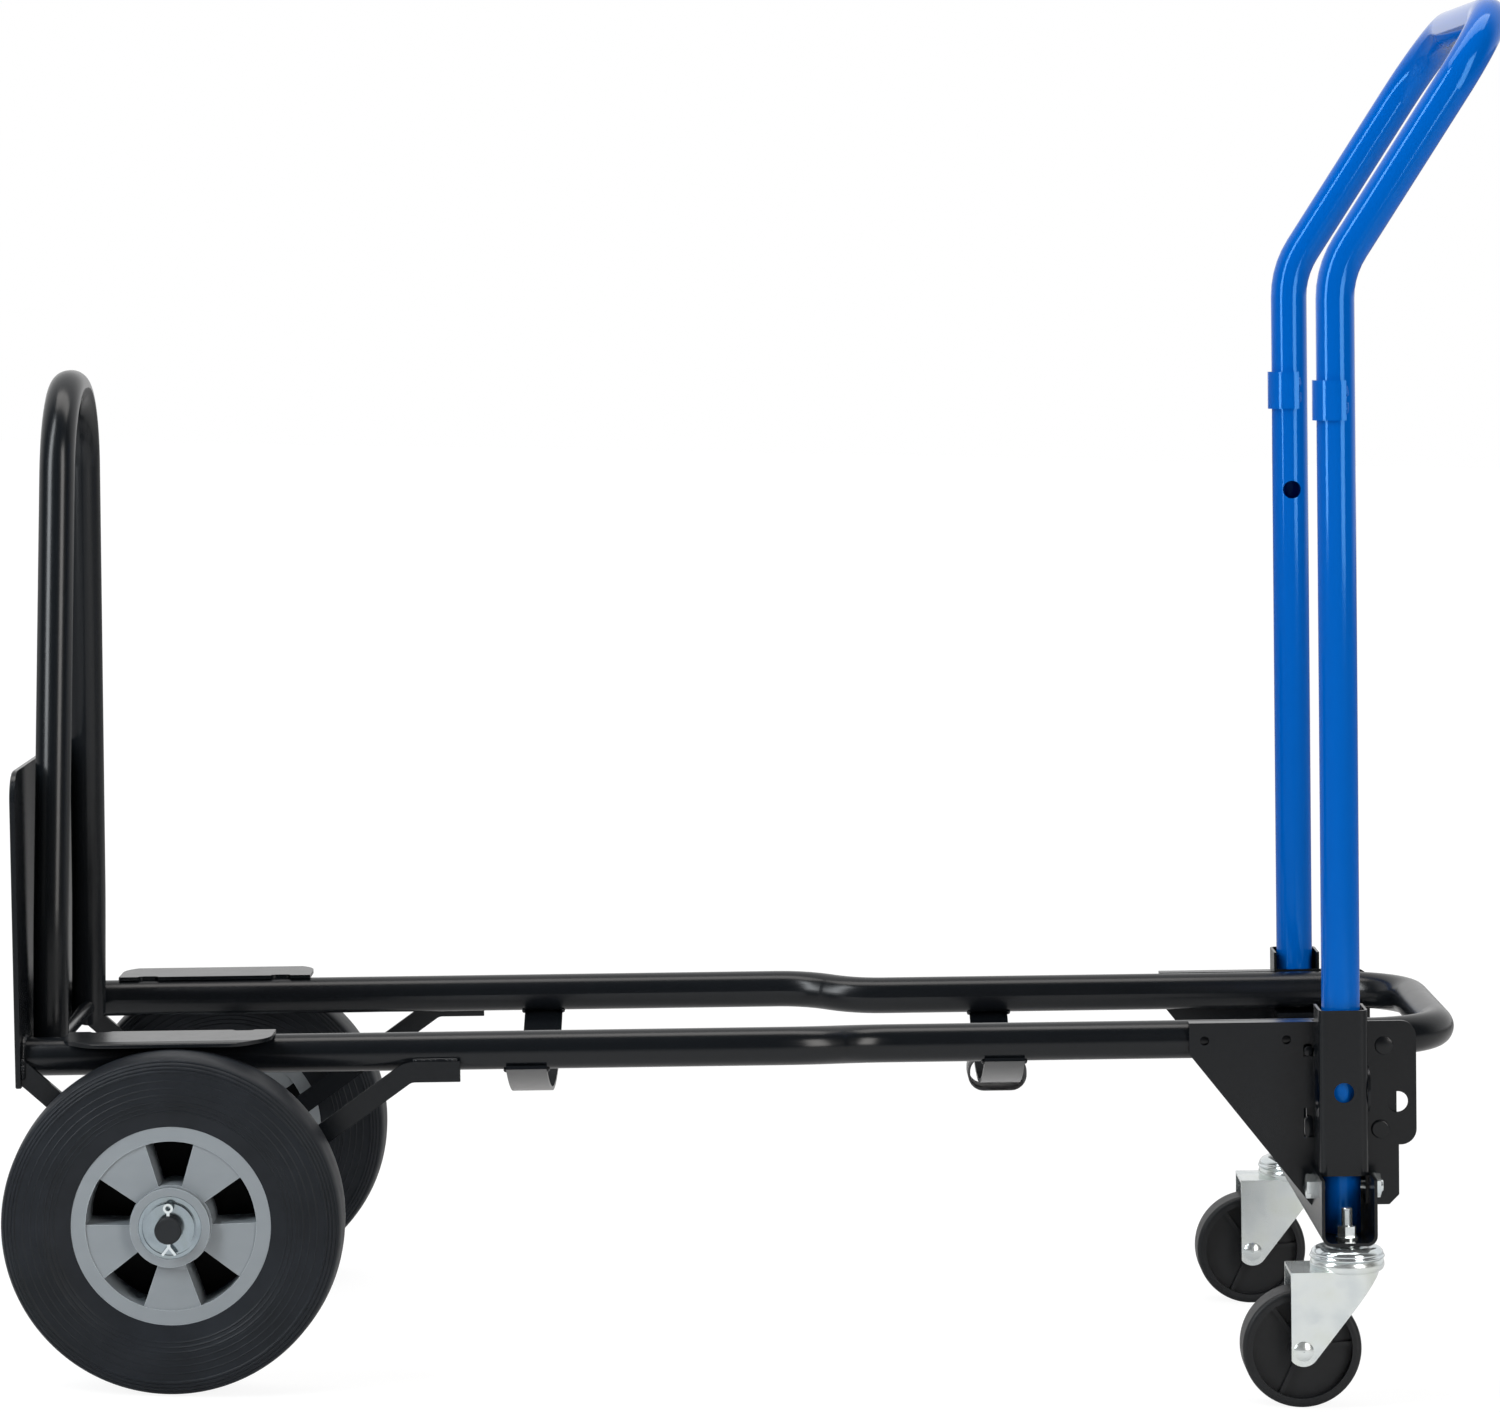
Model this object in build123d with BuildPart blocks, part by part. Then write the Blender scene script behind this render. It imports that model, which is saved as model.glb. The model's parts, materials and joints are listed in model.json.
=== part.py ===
"""Convertible hand truck standing on its four wheels, as separate pieces, in millimetres.

The truck is modelled with its rails level: X runs from the toe plate to the handle, Z is up
and the rails' axes lie at Z = 0.  "Left" is the -Y side, as seen by a person holding the
handle.  The last step sets the truck down on its big wheels and casters, with the origin on
the floor under the middle of its bounding box.
"""

import os
from math import asin, atan2, cos, degrees, hypot, radians, sin, sqrt, tan

from build123d import *

os.makedirs("parts", exist_ok=True)

# ---- clearances ---------------------------------------------------------------------------
running = 0.05  # radial gap of a shaft in its bearing
easy = 0.3  # gap of a loose fit, and between neighbours that must not rub

# ---- rails --------------------------------------------------------------------------------
rail_r = 14.5
rail_wall = 2.0
wide_half = 156.0  # rail axis from the middle, beside the big wheels
narrow_half = 130.0  # and beside the casters
narrow_z = -3.0  # beside the casters the rails lie this much lower
jog_middle = 617.0
jog_run = 40.0  # between the corners of the jog's slanted stretch, along the rails
jog_bend_r = 75.0
loop_end = 1080.0  # axis of the rails' closed end
loop_corner_r = 60.0

# ---- toe plate ----------------------------------------------------------------------------
toe_thick = 4.0
toe_side = 22.0  # the toe plate reaches this far beyond the rails' axes
toe_half = wide_half + toe_side
toe_top = 217.0
toe_bottom = -21.0
toe_edge = 0.8
toe_corner_r = 22.0

# ---- folding load loop --------------------------------------------------------------------
bar_r = 13.5
bar_wall = 1.8
bar_half = 112.0  # leg axis from the middle, at the hinge
bar_bend = 90.0  # where the legs start to lean in
bar_bend_r = 300.0
bar_taper = 5.8  # degrees each leg leans in
bar_corner_r = 70.0
bar_lean = 1.2  # degrees the loop leans towards the handle when up
bar_top = 515.0
hinge_r = 6.0
bush_wall = 3.0
foot_r = bar_r + 0.4  # the legs' feet are rounded about the hinge
hinge_x = toe_thick + foot_r + 0.5

# ---- big wheels ---------------------------------------------------------------------------
axle_x = 122.3
axle_z = -114.5
axle_r = 10.0
spacer_wall = 5.0
wheel_r = 127.0
wheel_out = 65.5  # middle of the tyre from the rail's axis
wheel_middle = wide_half + wheel_out
tyre_half = 27.5
tyre_crown = 2.2  # the tread is this much lower at its shoulders
tyre_shoulder_r = 5.0
tyre_bead_in = 5.0  # the bead is this much narrower than the tyre on each side
tyre_belly = 1.5  # and the side wall this much wider
tyre_belly_up = 24.0
rim_r = 74.0
rim_inner_r = 63.2
boss_r = 29.6
boss_half = 29.0
hub_bore_r = 14.0
spoke_half = 21.0
window_angle = 33.0
window_gap = 1.0
panel_thick = 3.0  # of the panels that close the windows on the wheel's inner side
spokes = 5
bearing_r = 23.5
bearing_wide = 12.0
bearing_lip = 3.0  # width of the outer ring's face
bearing_groove = 1.3  # width and depth of the groove inside it
bearing_edge = 0.4
washer_r = 18.5
washer_thick = 2.5
cotter_thick = 2.4
cotter_eye_r = 3.6
cotter_leg = 8.0
cotter_spread = 38.0
axle_stub = 11.0  # axle left outside the washer

# ---- axle brackets ------------------------------------------------------------------------
strut_wide = 15.5
strut_thick = 5.0
foot_end = 334.0
foot_bend = 295.0
foot_z = -13.2
strut_drop = 5.1  # the front strut leaves the toe plate this far below the rail's axis
boss_plate_r = 25.0
seat_dx = 10.0  # rear strut's axis passes this far behind and below the axle
seat_dz = 14.2

# ---- fenders ------------------------------------------------------------------------------
fender_from = 38.0
fender_to = 194.0
fender_inner = wide_half - 5.0  # the fender's inner edge lies just inside the rail's axis
fender_bend = wide_half + 49.0
fender_outer = wide_half + 56.0
fender_droop = 1.0
fender_edge_r = 2.2
fender_thick = 3.0
fender_corner_r = 30.0
notch_front = 24.0
notch_long = 16.0
notch_deep = 4.0

# ---- cross straps and tie -----------------------------------------------------------------
strap_wide = 30.5
strap_thick = 3.0
strap_drop = 48.0  # lowest point of a strap's upper face
front_strap_x = 383.5
rear_strap_x = 745.0
tie_gap = 5.7  # between the strap and the tie below it
tie_wide = 34.0
tie_long = 47.0
tie_tall = 28.0
tie_corner_r = 12.5
tie_thick = 2.2

# ---- handle -------------------------------------------------------------------------------
handle_x = 997.0
handle_half = 166.0
handle_r = 14.5
handle_wall = 1.8
handle_knee = 578.4  # where the upright and slanted axes cross
handle_slant = 33.0
handle_reach = 227.0  # from the knee to the crossbar, along the slant
knee_r = 70.0
grip_corner_r = 65.0
collar_low = 467.0
collar_high = 497.0
collar_thick = 3.2
collar_sweep = 220.0
lock_z = -37.0
spare_lock_z = 401.5
lock_hole_r = 7.25

# ---- handle brackets ----------------------------------------------------------------------
plate_thick = 3.0
plate_from = 884.5
plate_to = 1056.0
plate_top = 11.5
plate_low_left = -12.3
plate_bottom = -128.5
plate_slope_end = 976.0
plate_step_x = 1042.5
plate_step_z = -83.0
plate_chamfer = 7.5
plate_corner_r = 12.0
flange_to = 978.0
flange_lip = 1.0  # thickness of the flange's free edge, over the rail
dimple_r = 3.5
dimple_x = 896.0
dimple_z = -2.0
dimple_pitch = 62.0
tool_hole_r = 8.0
tool_hole_x = 1041.8
tool_hole_z = -50.3
tab_slot_wide = 8.0

# ---- sleeves ------------------------------------------------------------------------------
sleeve_half = 18.4
sleeve_wall = 2.0
sleeve_depth = 38.0
sleeve_top = 25.0
sleeve_bottom = -100.0
sleeve_corner_r = 6.0
cross_hole_r = 15.4
cross_collar = 2.0
front_hole_r = 7.5
ear_bottom = -122.0
ear_deep = 30.0

# ---- caster channel -----------------------------------------------------------------------
channel_sheet = 2.4
channel_floor = -145.0  # upper face of the channel's floor
channel_top = -98.0
channel_half = 216.0
channel_corner_r = 8.0
bolt_r = 5.0
bolt_z = -110.5
bolt_flats = 16.0
bolt_head = 6.4
bolt_nut = 8.0
bolt_end = 2.0

# ---- casters ------------------------------------------------------------------------------
stem_y = 196.0
stem_r = 4.0
stem_top = -121.5
stem_nut_flats = 13.0
stem_nut_turn = 15.0
stem_nut_thick = 8.0
stem_washer_r = 8.5
stem_washer_thick = 1.8
spacer_r = 12.0
race_top = -150.0
race_split = -158.8
race_r = 28.3
lower_race_r = 27.8
race_bulge = 1.5  # the lower race's rims are this much narrower than its middle
kingpin_r = 6.0
fork_top = -166.0
fork_thick = 2.5
fork_half = 24.0
fork_front = 952.5
fork_back = 1020.0
fork_wrap_r = 20.0
caster_axle_x = 961.5
caster_axle_z = -225.0
fork_eye_r = 11.5
caster_r = 44.5
caster_half = 15.5
caster_rim_r = 37.5
caster_web_half = 8.0
caster_rib_half = 11.0
caster_rib_thick = 3.0
caster_rib_start = 5.0
caster_edge_r = 4.0
caster_hub_r = 10.0
caster_bush_r = 6.0
caster_pin_r = 4.0
caster_rivet_r = 7.5
caster_rivet_high = 2.6
caster_ribs = 3

# ---- latches ------------------------------------------------------------------------------
latch_sheet = 2.5
latch_from = 973.0
latch_to = 1041.3
latch_top = -17.5
latch_bottom = -84.0
latch_strap_half = 19.0
latch_strap_deep = 30.0
latch_strap_top = -20.0
latch_strap_bottom = -56.0
pin_play = 0.25
pin_rod_r = 4.0
pin_long = 17.0
pin_travel = 11.0
spring_wire_r = 0.9
spring_turns = 4
latch_tab_thick = 3.0
latch_tab_tip = 1061.0
latch_tab_wide = 24.0
latch_nut_flats = 13.0
latch_nut_thick = 6.5
rivet_x = 1028.5
rivet_z = -70.9
rivet_r = 7.0
rivet_shank_r = 4.0
rivet_high = 2.2

pieces = {}


def keep(shape, name):
    """Remember a finished piece under its node's name."""
    pieces[name] = shape


def keep_pair(left, name):
    """Remember a left-hand piece and its mirror image."""
    keep(left, name + "_left")
    keep(mirror(left, about=Plane.XZ), name + "_right")


def both_sides(left):
    """A left-hand shape and its mirror image as one group of solids."""
    return Compound([*left.solids(), *mirror(left, about=Plane.XZ).solids()])


def side(y):
    """Drawing plane parallel to the rails, at the given Y, seen from the left (-Y) side."""
    return Plane.XZ.offset(-y)


def across(x):
    """Drawing plane across the truck at the given X, with Y to the right and Z up."""
    return Plane.YZ.offset(x)


def deck(z):
    """Level drawing plane at the given Z."""
    return Plane.XY.offset(z)


def round_about_y(x, z):
    """Level drawing plane whose Y axis is the crosswise axis through a point of the side view."""
    return Plane(origin=(x, 0, z), x_dir=(1, 0, 0), z_dir=(0, 0, 1))


def crosswise(x, z):
    """The crosswise axis through a point of the side view."""
    return Axis((x, 0, z), (0, 1, 0))


# ---- rail loop ----------------------------------------------------------------------------
jog_from = jog_middle - jog_run / 2
jog_to = jog_middle + jog_run / 2
with BuildPart() as rail_loop:
    with BuildLine():
        rail_path = FilletPolyline(
            (toe_thick, -wide_half, 0),
            (jog_from, -wide_half, 0),
            (jog_to, -narrow_half, narrow_z),
            (loop_end, -narrow_half, narrow_z),
            (loop_end, narrow_half, narrow_z),
            (jog_to, narrow_half, narrow_z),
            (jog_from, wide_half, 0),
            (toe_thick, wide_half, 0),
            radius=[jog_bend_r, jog_bend_r, loop_corner_r, loop_corner_r, jog_bend_r, jog_bend_r],
        )
    with BuildSketch(Plane(origin=rail_path @ 0, z_dir=rail_path % 0)):
        Circle(rail_r)
        Circle(rail_r - rail_wall, mode=Mode.SUBTRACT)
    sweep(path=rail_path)
keep(rail_loop.part, "rail_loop")

# ---- toe plate ----------------------------------------------------------------------------
with BuildPart() as toe_plate:
    with BuildSketch(across(0)) as toe_outline:
        with Locations((0, toe_bottom)):
            Rectangle(2 * toe_half, toe_top - toe_bottom, align=(Align.CENTER, Align.MIN))
        fillet(toe_outline.vertices().group_by(Axis.Y)[-1], toe_corner_r)
    extrude(amount=toe_thick)
    chamfer(toe_plate.faces().sort_by(Axis.X)[0].edges(), toe_edge)
keep(toe_plate.part, "toe_plate")

# ---- hinge of the load loop ---------------------------------------------------------------
rail_inside = wide_half - rail_r
with BuildPart() as loop_hinge_rod:
    with BuildSketch(side(rail_inside)):
        with Locations((hinge_x, 0)):
            Circle(hinge_r)
    extrude(amount=2 * rail_inside)
keep(loop_hinge_rod.part, "loop_hinge_rod")

with BuildPart() as hinge_bush:
    with BuildSketch(side(-rail_inside)):
        with Locations((hinge_x, 0)):
            Circle(hinge_r + bush_wall)
            Circle(hinge_r + running, mode=Mode.SUBTRACT)
    extrude(amount=-(rail_inside - bar_half - bar_r - easy))
keep(both_sides(hinge_bush.part), "loop_hinge_bushes")

# ---- load loop ----------------------------------------------------------------------------
taper = radians(bar_taper)
bar_crown = bar_top - bar_r
crown_half = bar_half - (bar_crown - bar_bend) * tan(taper)
lean = radians(bar_lean)
lean_plane = Plane(origin=(hinge_x, 0, 0), x_dir=(0, 1, 0), z_dir=(cos(lean), 0, -sin(lean)))
with BuildPart() as load_loop:
    with BuildLine(lean_plane):
        loop_path = FilletPolyline(
            (-bar_half, -foot_r),
            (-bar_half, bar_bend),
            (-crown_half, bar_crown),
            (crown_half, bar_crown),
            (bar_half, bar_bend),
            (bar_half, -foot_r),
            radius=[bar_bend_r, bar_corner_r, bar_corner_r, bar_bend_r],
        )
    with BuildSketch(Plane(origin=loop_path @ 0, z_dir=loop_path % 0)):
        Circle(bar_r)
        Circle(bar_r - bar_wall, mode=Mode.SUBTRACT)
    sweep(path=loop_path)
    # Rounded feet that turn about the hinge rod, clear of the toe plate.
    with BuildSketch(side(toe_half)):
        with Locations((hinge_x, -foot_r)):
            Rectangle(3 * foot_r, 2 * foot_r)
        with Locations((hinge_x, 0)):
            Circle(foot_r, mode=Mode.SUBTRACT)
    extrude(amount=2 * toe_half, mode=Mode.SUBTRACT)
    with BuildSketch(side(toe_half)):
        with Locations((hinge_x, 0)):
            Circle(hinge_r + running)
    extrude(amount=2 * toe_half, mode=Mode.SUBTRACT)
keep(load_loop.part, "load_loop")


# ---- cross straps -------------------------------------------------------------------------
def cross_strap(x, half_span, axis_z):
    """Sagging flat bar whose upper face cradles both rails, whose axes lie at the given Z."""
    sag = strap_drop + axis_z
    dip = sag - rail_r
    centre_up = (half_span**2 - dip**2) / (2 * dip)
    centre_z = axis_z + centre_up
    face_r = centre_up + sag
    end_angle = degrees(asin(half_span / (face_r - rail_r))) + 1
    with BuildPart() as strap:
        with BuildSketch(across(x - strap_wide / 2)):
            with BuildLine():
                upper = CenterArc((0, centre_z), face_r, 270 - end_angle, 2 * end_angle)
                lower = CenterArc((0, centre_z), face_r + strap_thick, 270 - end_angle, 2 * end_angle)
                Line(upper @ 0, lower @ 0)
                Line(upper @ 1, lower @ 1)
            make_face()
        extrude(amount=strap_wide)
    return strap.part


keep(cross_strap(front_strap_x, wide_half, 0), "cross_strap_front")
keep(cross_strap(rear_strap_x, narrow_half, narrow_z), "cross_strap_rear")

# ---- webbing tie round the rear strap -----------------------------------------------------
# A stiff loop whose rounded rear end nearly touches the strap's rear edge.
tie_bottom = -strap_drop - strap_thick - tie_gap - tie_thick
tie_inner_r = tie_corner_r - tie_thick
tie_inset = tie_inner_r - sqrt(tie_inner_r**2 - (tie_inner_r - tie_gap) ** 2)
tie_inner_end = rear_strap_x + strap_wide / 2 + easy + tie_inset
with BuildPart() as strap_tie:
    with BuildSketch(side(tie_wide / 2)):
        with Locations((tie_inner_end + tie_thick - tie_long / 2, tie_bottom + tie_tall / 2)):
            RectangleRounded(tie_long, tie_tall, tie_corner_r)
            RectangleRounded(
                tie_long - 2 * tie_thick,
                tie_tall - 2 * tie_thick,
                tie_inner_r,
                mode=Mode.SUBTRACT,
            )
    extrude(amount=tie_wide)
keep(strap_tie.part, "strap_tie")

# ---- fenders ------------------------------------------------------------------------------
fender_long = fender_to - fender_from
with BuildPart() as fender:
    with BuildSketch(across(fender_from)) as fender_section:
        with BuildLine():
            fender_face = rail_r + fender_thick
            Polyline(
                (-fender_inner, rail_r),
                (-fender_inner, fender_face),
                (-fender_bend, fender_face),
                (-fender_outer, fender_face - fender_droop),
                (-fender_outer, rail_r - fender_droop),
                (-fender_bend, rail_r),
                close=True,
            )
        make_face()
        fillet(fender_section.vertices().sort_by(Axis.X)[:2].sort_by(Axis.Y)[-1], fender_edge_r)
    extrude(amount=fender_long)
    with BuildSketch(deck(rail_r - fender_droop)) as fender_plan:
        with Locations(((fender_from + fender_to) / 2, -(fender_inner + fender_outer) / 2)):
            Rectangle(fender_long, fender_outer - fender_inner)
        fillet(fender_plan.vertices().group_by(Axis.Y)[0], fender_corner_r)
        with Locations(
            (fender_from + notch_front, -fender_inner),
            (fender_to - notch_front, -fender_inner),
        ):
            SlotOverall(notch_long, 2 * notch_deep, mode=Mode.SUBTRACT)
    extrude(amount=fender_droop + fender_thick, mode=Mode.INTERSECT)
keep_pair(fender.part, "fender")

# ---- axle brackets ------------------------------------------------------------------------
foot_top = foot_z + strut_wide / 2
bracket_face = wide_half + sqrt(rail_r**2 - foot_top**2) + 0.2
with BuildPart() as axle_bracket:
    with BuildSketch(side(-bracket_face)):
        with BuildLine():
            FilletPolyline(
                (foot_end, foot_z),
                (foot_bend, foot_z),
                (axle_x + seat_dx, axle_z - seat_dz),
                radius=strut_wide,
            )
        trace(line_width=strut_wide)
        with BuildLine():
            Line((0, -strut_drop), (axle_x, axle_z))
        trace(line_width=strut_wide)
        with Locations((axle_x, axle_z)):
            Circle(boss_plate_r)
        with Locations(((toe_thick + foot_end) / 2, axle_z)):
            Rectangle(foot_end - toe_thick, 2 * wheel_r, mode=Mode.INTERSECT)
        with Locations((axle_x, axle_z)):
            Circle(axle_r + running, mode=Mode.SUBTRACT)
    extrude(amount=strut_thick)
    with BuildSketch(across(0)):
        with Locations((-wide_half, 0)):
            Circle(rail_r)
    extrude(amount=foot_end, mode=Mode.SUBTRACT)
keep_pair(axle_bracket.part, "axle_bracket")
bracket_outer = bracket_face + strut_thick

# ---- axle, spacers, washers and cotter pins -------------------------------------------------
hub_inner = wheel_middle - boss_half
hub_outer = wheel_middle + boss_half
axle_end = hub_outer + easy + washer_thick + axle_stub
cotter_y = axle_end - axle_stub / 2
with BuildPart() as axle:
    with BuildSketch(side(axle_end)):
        with Locations((axle_x, axle_z)):
            Circle(axle_r)
    extrude(amount=2 * axle_end)
    chamfer(axle.faces().filter_by(Axis.Y).edges(), 1.0)
    with BuildSketch(deck(axle_z - axle_r)):
        with Locations((axle_x, cotter_y), (axle_x, -cotter_y)):
            Circle(cotter_thick / sqrt(2) + running)
    extrude(amount=2 * axle_r, mode=Mode.SUBTRACT)
keep(axle.part, "axle")

with BuildPart() as axle_spacer:
    with BuildSketch(side(-bracket_outer)):
        with Locations((axle_x, axle_z)):
            Circle(axle_r + spacer_wall)
            Circle(axle_r + running, mode=Mode.SUBTRACT)
    extrude(amount=hub_inner - easy - bracket_outer)
keep(both_sides(axle_spacer.part), "axle_spacers")

with BuildPart() as axle_washer:
    with BuildSketch(side(-hub_outer - easy)):
        with Locations((axle_x, axle_z)):
            Circle(washer_r)
            Circle(axle_r + running, mode=Mode.SUBTRACT)
    extrude(amount=washer_thick)
keep(both_sides(axle_washer.part), "axle_washers")

cotter_top = axle_z + axle_r + cotter_thick
cotter_low = axle_z - axle_r
with BuildPart() as cotter_pin:
    with BuildSketch(side(-cotter_y + cotter_thick / 2)):
        with Locations((axle_x, cotter_low - cotter_thick)):
            Rectangle(
                cotter_thick,
                cotter_top - cotter_low + 2 * cotter_thick,
                align=(Align.CENTER, Align.MIN),
            )
        with Locations((axle_x, cotter_top + cotter_eye_r)):
            Circle(cotter_eye_r)
            Circle(cotter_eye_r - cotter_thick * 0.7, mode=Mode.SUBTRACT)
        for way in (1, -1):
            with Locations(Location((axle_x, cotter_low - cotter_thick), way * cotter_spread)):
                Rectangle(cotter_thick * 0.8, cotter_leg, align=(Align.CENTER, Align.MAX))
    extrude(amount=cotter_thick)
keep(both_sides(cotter_pin.part), "cotter_pins")

# ---- big wheels ---------------------------------------------------------------------------
wheel_plane = round_about_y(axle_x, axle_z)
wheel_axis = crosswise(axle_x, axle_z)
tread_edge = wheel_r - tyre_crown
with BuildPart() as tyre:
    with BuildSketch(wheel_plane):
        with BuildLine():
            bead = (rim_r, -wheel_middle - tyre_half + tyre_bead_in)
            belly = (rim_r + tyre_belly_up, -wheel_middle - tyre_half - tyre_belly)
            shoulder_side = (tread_edge - tyre_shoulder_r, -wheel_middle - tyre_half)
            shoulder_top = (tread_edge, -wheel_middle - tyre_half + tyre_shoulder_r)
            inner_bead = (rim_r, -wheel_middle + tyre_half - tyre_bead_in)
            inner_belly = (rim_r + tyre_belly_up, -wheel_middle + tyre_half + tyre_belly)
            inner_side = (tread_edge - tyre_shoulder_r, -wheel_middle + tyre_half)
            inner_top = (tread_edge, -wheel_middle + tyre_half - tyre_shoulder_r)
            ThreePointArc(bead, belly, shoulder_side)
            RadiusArc(shoulder_side, shoulder_top, -tyre_shoulder_r)
            ThreePointArc(shoulder_top, (wheel_r, -wheel_middle), inner_top)
            RadiusArc(inner_top, inner_side, -tyre_shoulder_r)
            ThreePointArc(inner_side, inner_belly, inner_bead)
            Line(inner_bead, bead)
        make_face()
    revolve(axis=wheel_axis)
keep_pair(tyre.part, "tyre")

rim_half = tyre_half - tyre_bead_in - easy
with BuildPart() as wheel_hub:
    with BuildSketch(wheel_plane):
        with Locations(((rim_r + rim_inner_r) / 2, -wheel_middle)):
            Rectangle(rim_r - rim_inner_r, 2 * rim_half)
        with Locations(((rim_inner_r + boss_r) / 2, -wheel_middle)):
            Rectangle(rim_inner_r - boss_r, 2 * spoke_half)
        with Locations(((boss_r + hub_bore_r) / 2, -wheel_middle)):
            Rectangle(boss_r - hub_bore_r, 2 * boss_half)
    revolve(axis=wheel_axis)
    with BuildSketch(side(-wheel_middle + boss_half)):
        with Locations((axle_x, axle_z)):
            Circle(bearing_r)
    extrude(amount=bearing_wide, mode=Mode.SUBTRACT)
    with BuildSketch(side(-wheel_middle - boss_half)):
        with Locations((axle_x, axle_z)):
            Circle(bearing_r)
    extrude(amount=-bearing_wide, mode=Mode.SUBTRACT)
    with BuildSketch(side(-wheel_middle + boss_half)) as windows:
        for turn in range(spokes):
            start = 90 - window_angle / 2 + turn * 360 / spokes
            with BuildLine():
                inner_arc = CenterArc((axle_x, axle_z), boss_r + window_gap, start, window_angle)
                outer_arc = CenterArc((axle_x, axle_z), rim_inner_r, start, window_angle)
                Line(inner_arc @ 0, outer_arc @ 0)
                Line(inner_arc @ 1, outer_arc @ 1)
            make_face()
    extrude(amount=2 * boss_half, mode=Mode.SUBTRACT)
keep_pair(wheel_hub.part, "wheel_hub")

# Panels that close the windows, flush with the inner faces of the spokes.
with BuildPart() as window_panels:
    with BuildSketch(side(-wheel_middle + spoke_half)):
        add(windows.sketch_local)
    extrude(amount=panel_thick)
keep_pair(window_panels.part, "window_panels")

with BuildPart() as wheel_bearings:
    for start, way in ((-hub_inner, 1), (-hub_outer, -1)):
        with BuildSketch(side(start)):
            with Locations((axle_x, axle_z)):
                Circle(bearing_r)
                Circle(axle_r + running, mode=Mode.SUBTRACT)
        extrude(amount=way * bearing_wide)
        with BuildSketch(side(start)):
            with Locations((axle_x, axle_z)):
                Circle(bearing_r - bearing_lip)
                Circle(bearing_r - bearing_lip - bearing_groove, mode=Mode.SUBTRACT)
        extrude(amount=way * bearing_groove, mode=Mode.SUBTRACT)
    outer_circles = wheel_bearings.edges().filter_by(GeomType.CIRCLE).group_by(Axis.Y)[0]
    chamfer(outer_circles.sort_by(SortBy.RADIUS)[-1], bearing_edge)
keep_pair(wheel_bearings.part, "wheel_bearings")

# ---- handle -------------------------------------------------------------------------------
slant = radians(handle_slant)
knee = (handle_x, handle_knee)
crest = (handle_x + handle_reach * sin(slant), handle_knee + handle_reach * cos(slant))
handle_foot = channel_floor + easy
with BuildPart() as handle_tube:
    with BuildLine():
        handle_path = FilletPolyline(
            (handle_x, -handle_half, handle_foot),
            (knee[0], -handle_half, knee[1]),
            (crest[0], -handle_half, crest[1]),
            (crest[0], handle_half, crest[1]),
            (knee[0], handle_half, knee[1]),
            (handle_x, handle_half, handle_foot),
            radius=[knee_r, grip_corner_r, grip_corner_r, knee_r],
        )
    with BuildSketch(Plane(origin=handle_path @ 0, z_dir=handle_path % 0)):
        Circle(handle_r)
        Circle(handle_r - handle_wall, mode=Mode.SUBTRACT)
    sweep(path=handle_path)
    # Lock holes in the tubes' inner faces.
    with BuildSketch(side(handle_half)):
        with Locations((handle_x, lock_z), (handle_x, spare_lock_z)):
            Circle(lock_hole_r)
    extrude(amount=2 * handle_half, mode=Mode.SUBTRACT)
    # Notches that straddle the channel's bolts.
    notch_top = bolt_z + bolt_r + 1
    with BuildSketch(across(handle_x - handle_r)):
        with Locations((-handle_half, notch_top), (handle_half, notch_top)):
            Rectangle(2 * bolt_r + 1.5, notch_top - handle_foot + 1, align=(Align.CENTER, Align.MAX))
    extrude(amount=2 * handle_r, mode=Mode.SUBTRACT)
keep(handle_tube.part, "handle_tube")

with BuildPart() as handle_collar:
    with BuildSketch(deck(collar_low)):
        with BuildLine():
            start = 180 - collar_sweep / 2
            outer = CenterArc((handle_x, -handle_half), handle_r + collar_thick, start, collar_sweep)
            inner = CenterArc((handle_x, -handle_half), handle_r, start, collar_sweep)
            Line(outer @ 0, inner @ 0)
            Line(outer @ 1, inner @ 1)
        make_face()
    extrude(amount=collar_high - collar_low)
keep(both_sides(handle_collar.part), "handle_collars")

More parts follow.
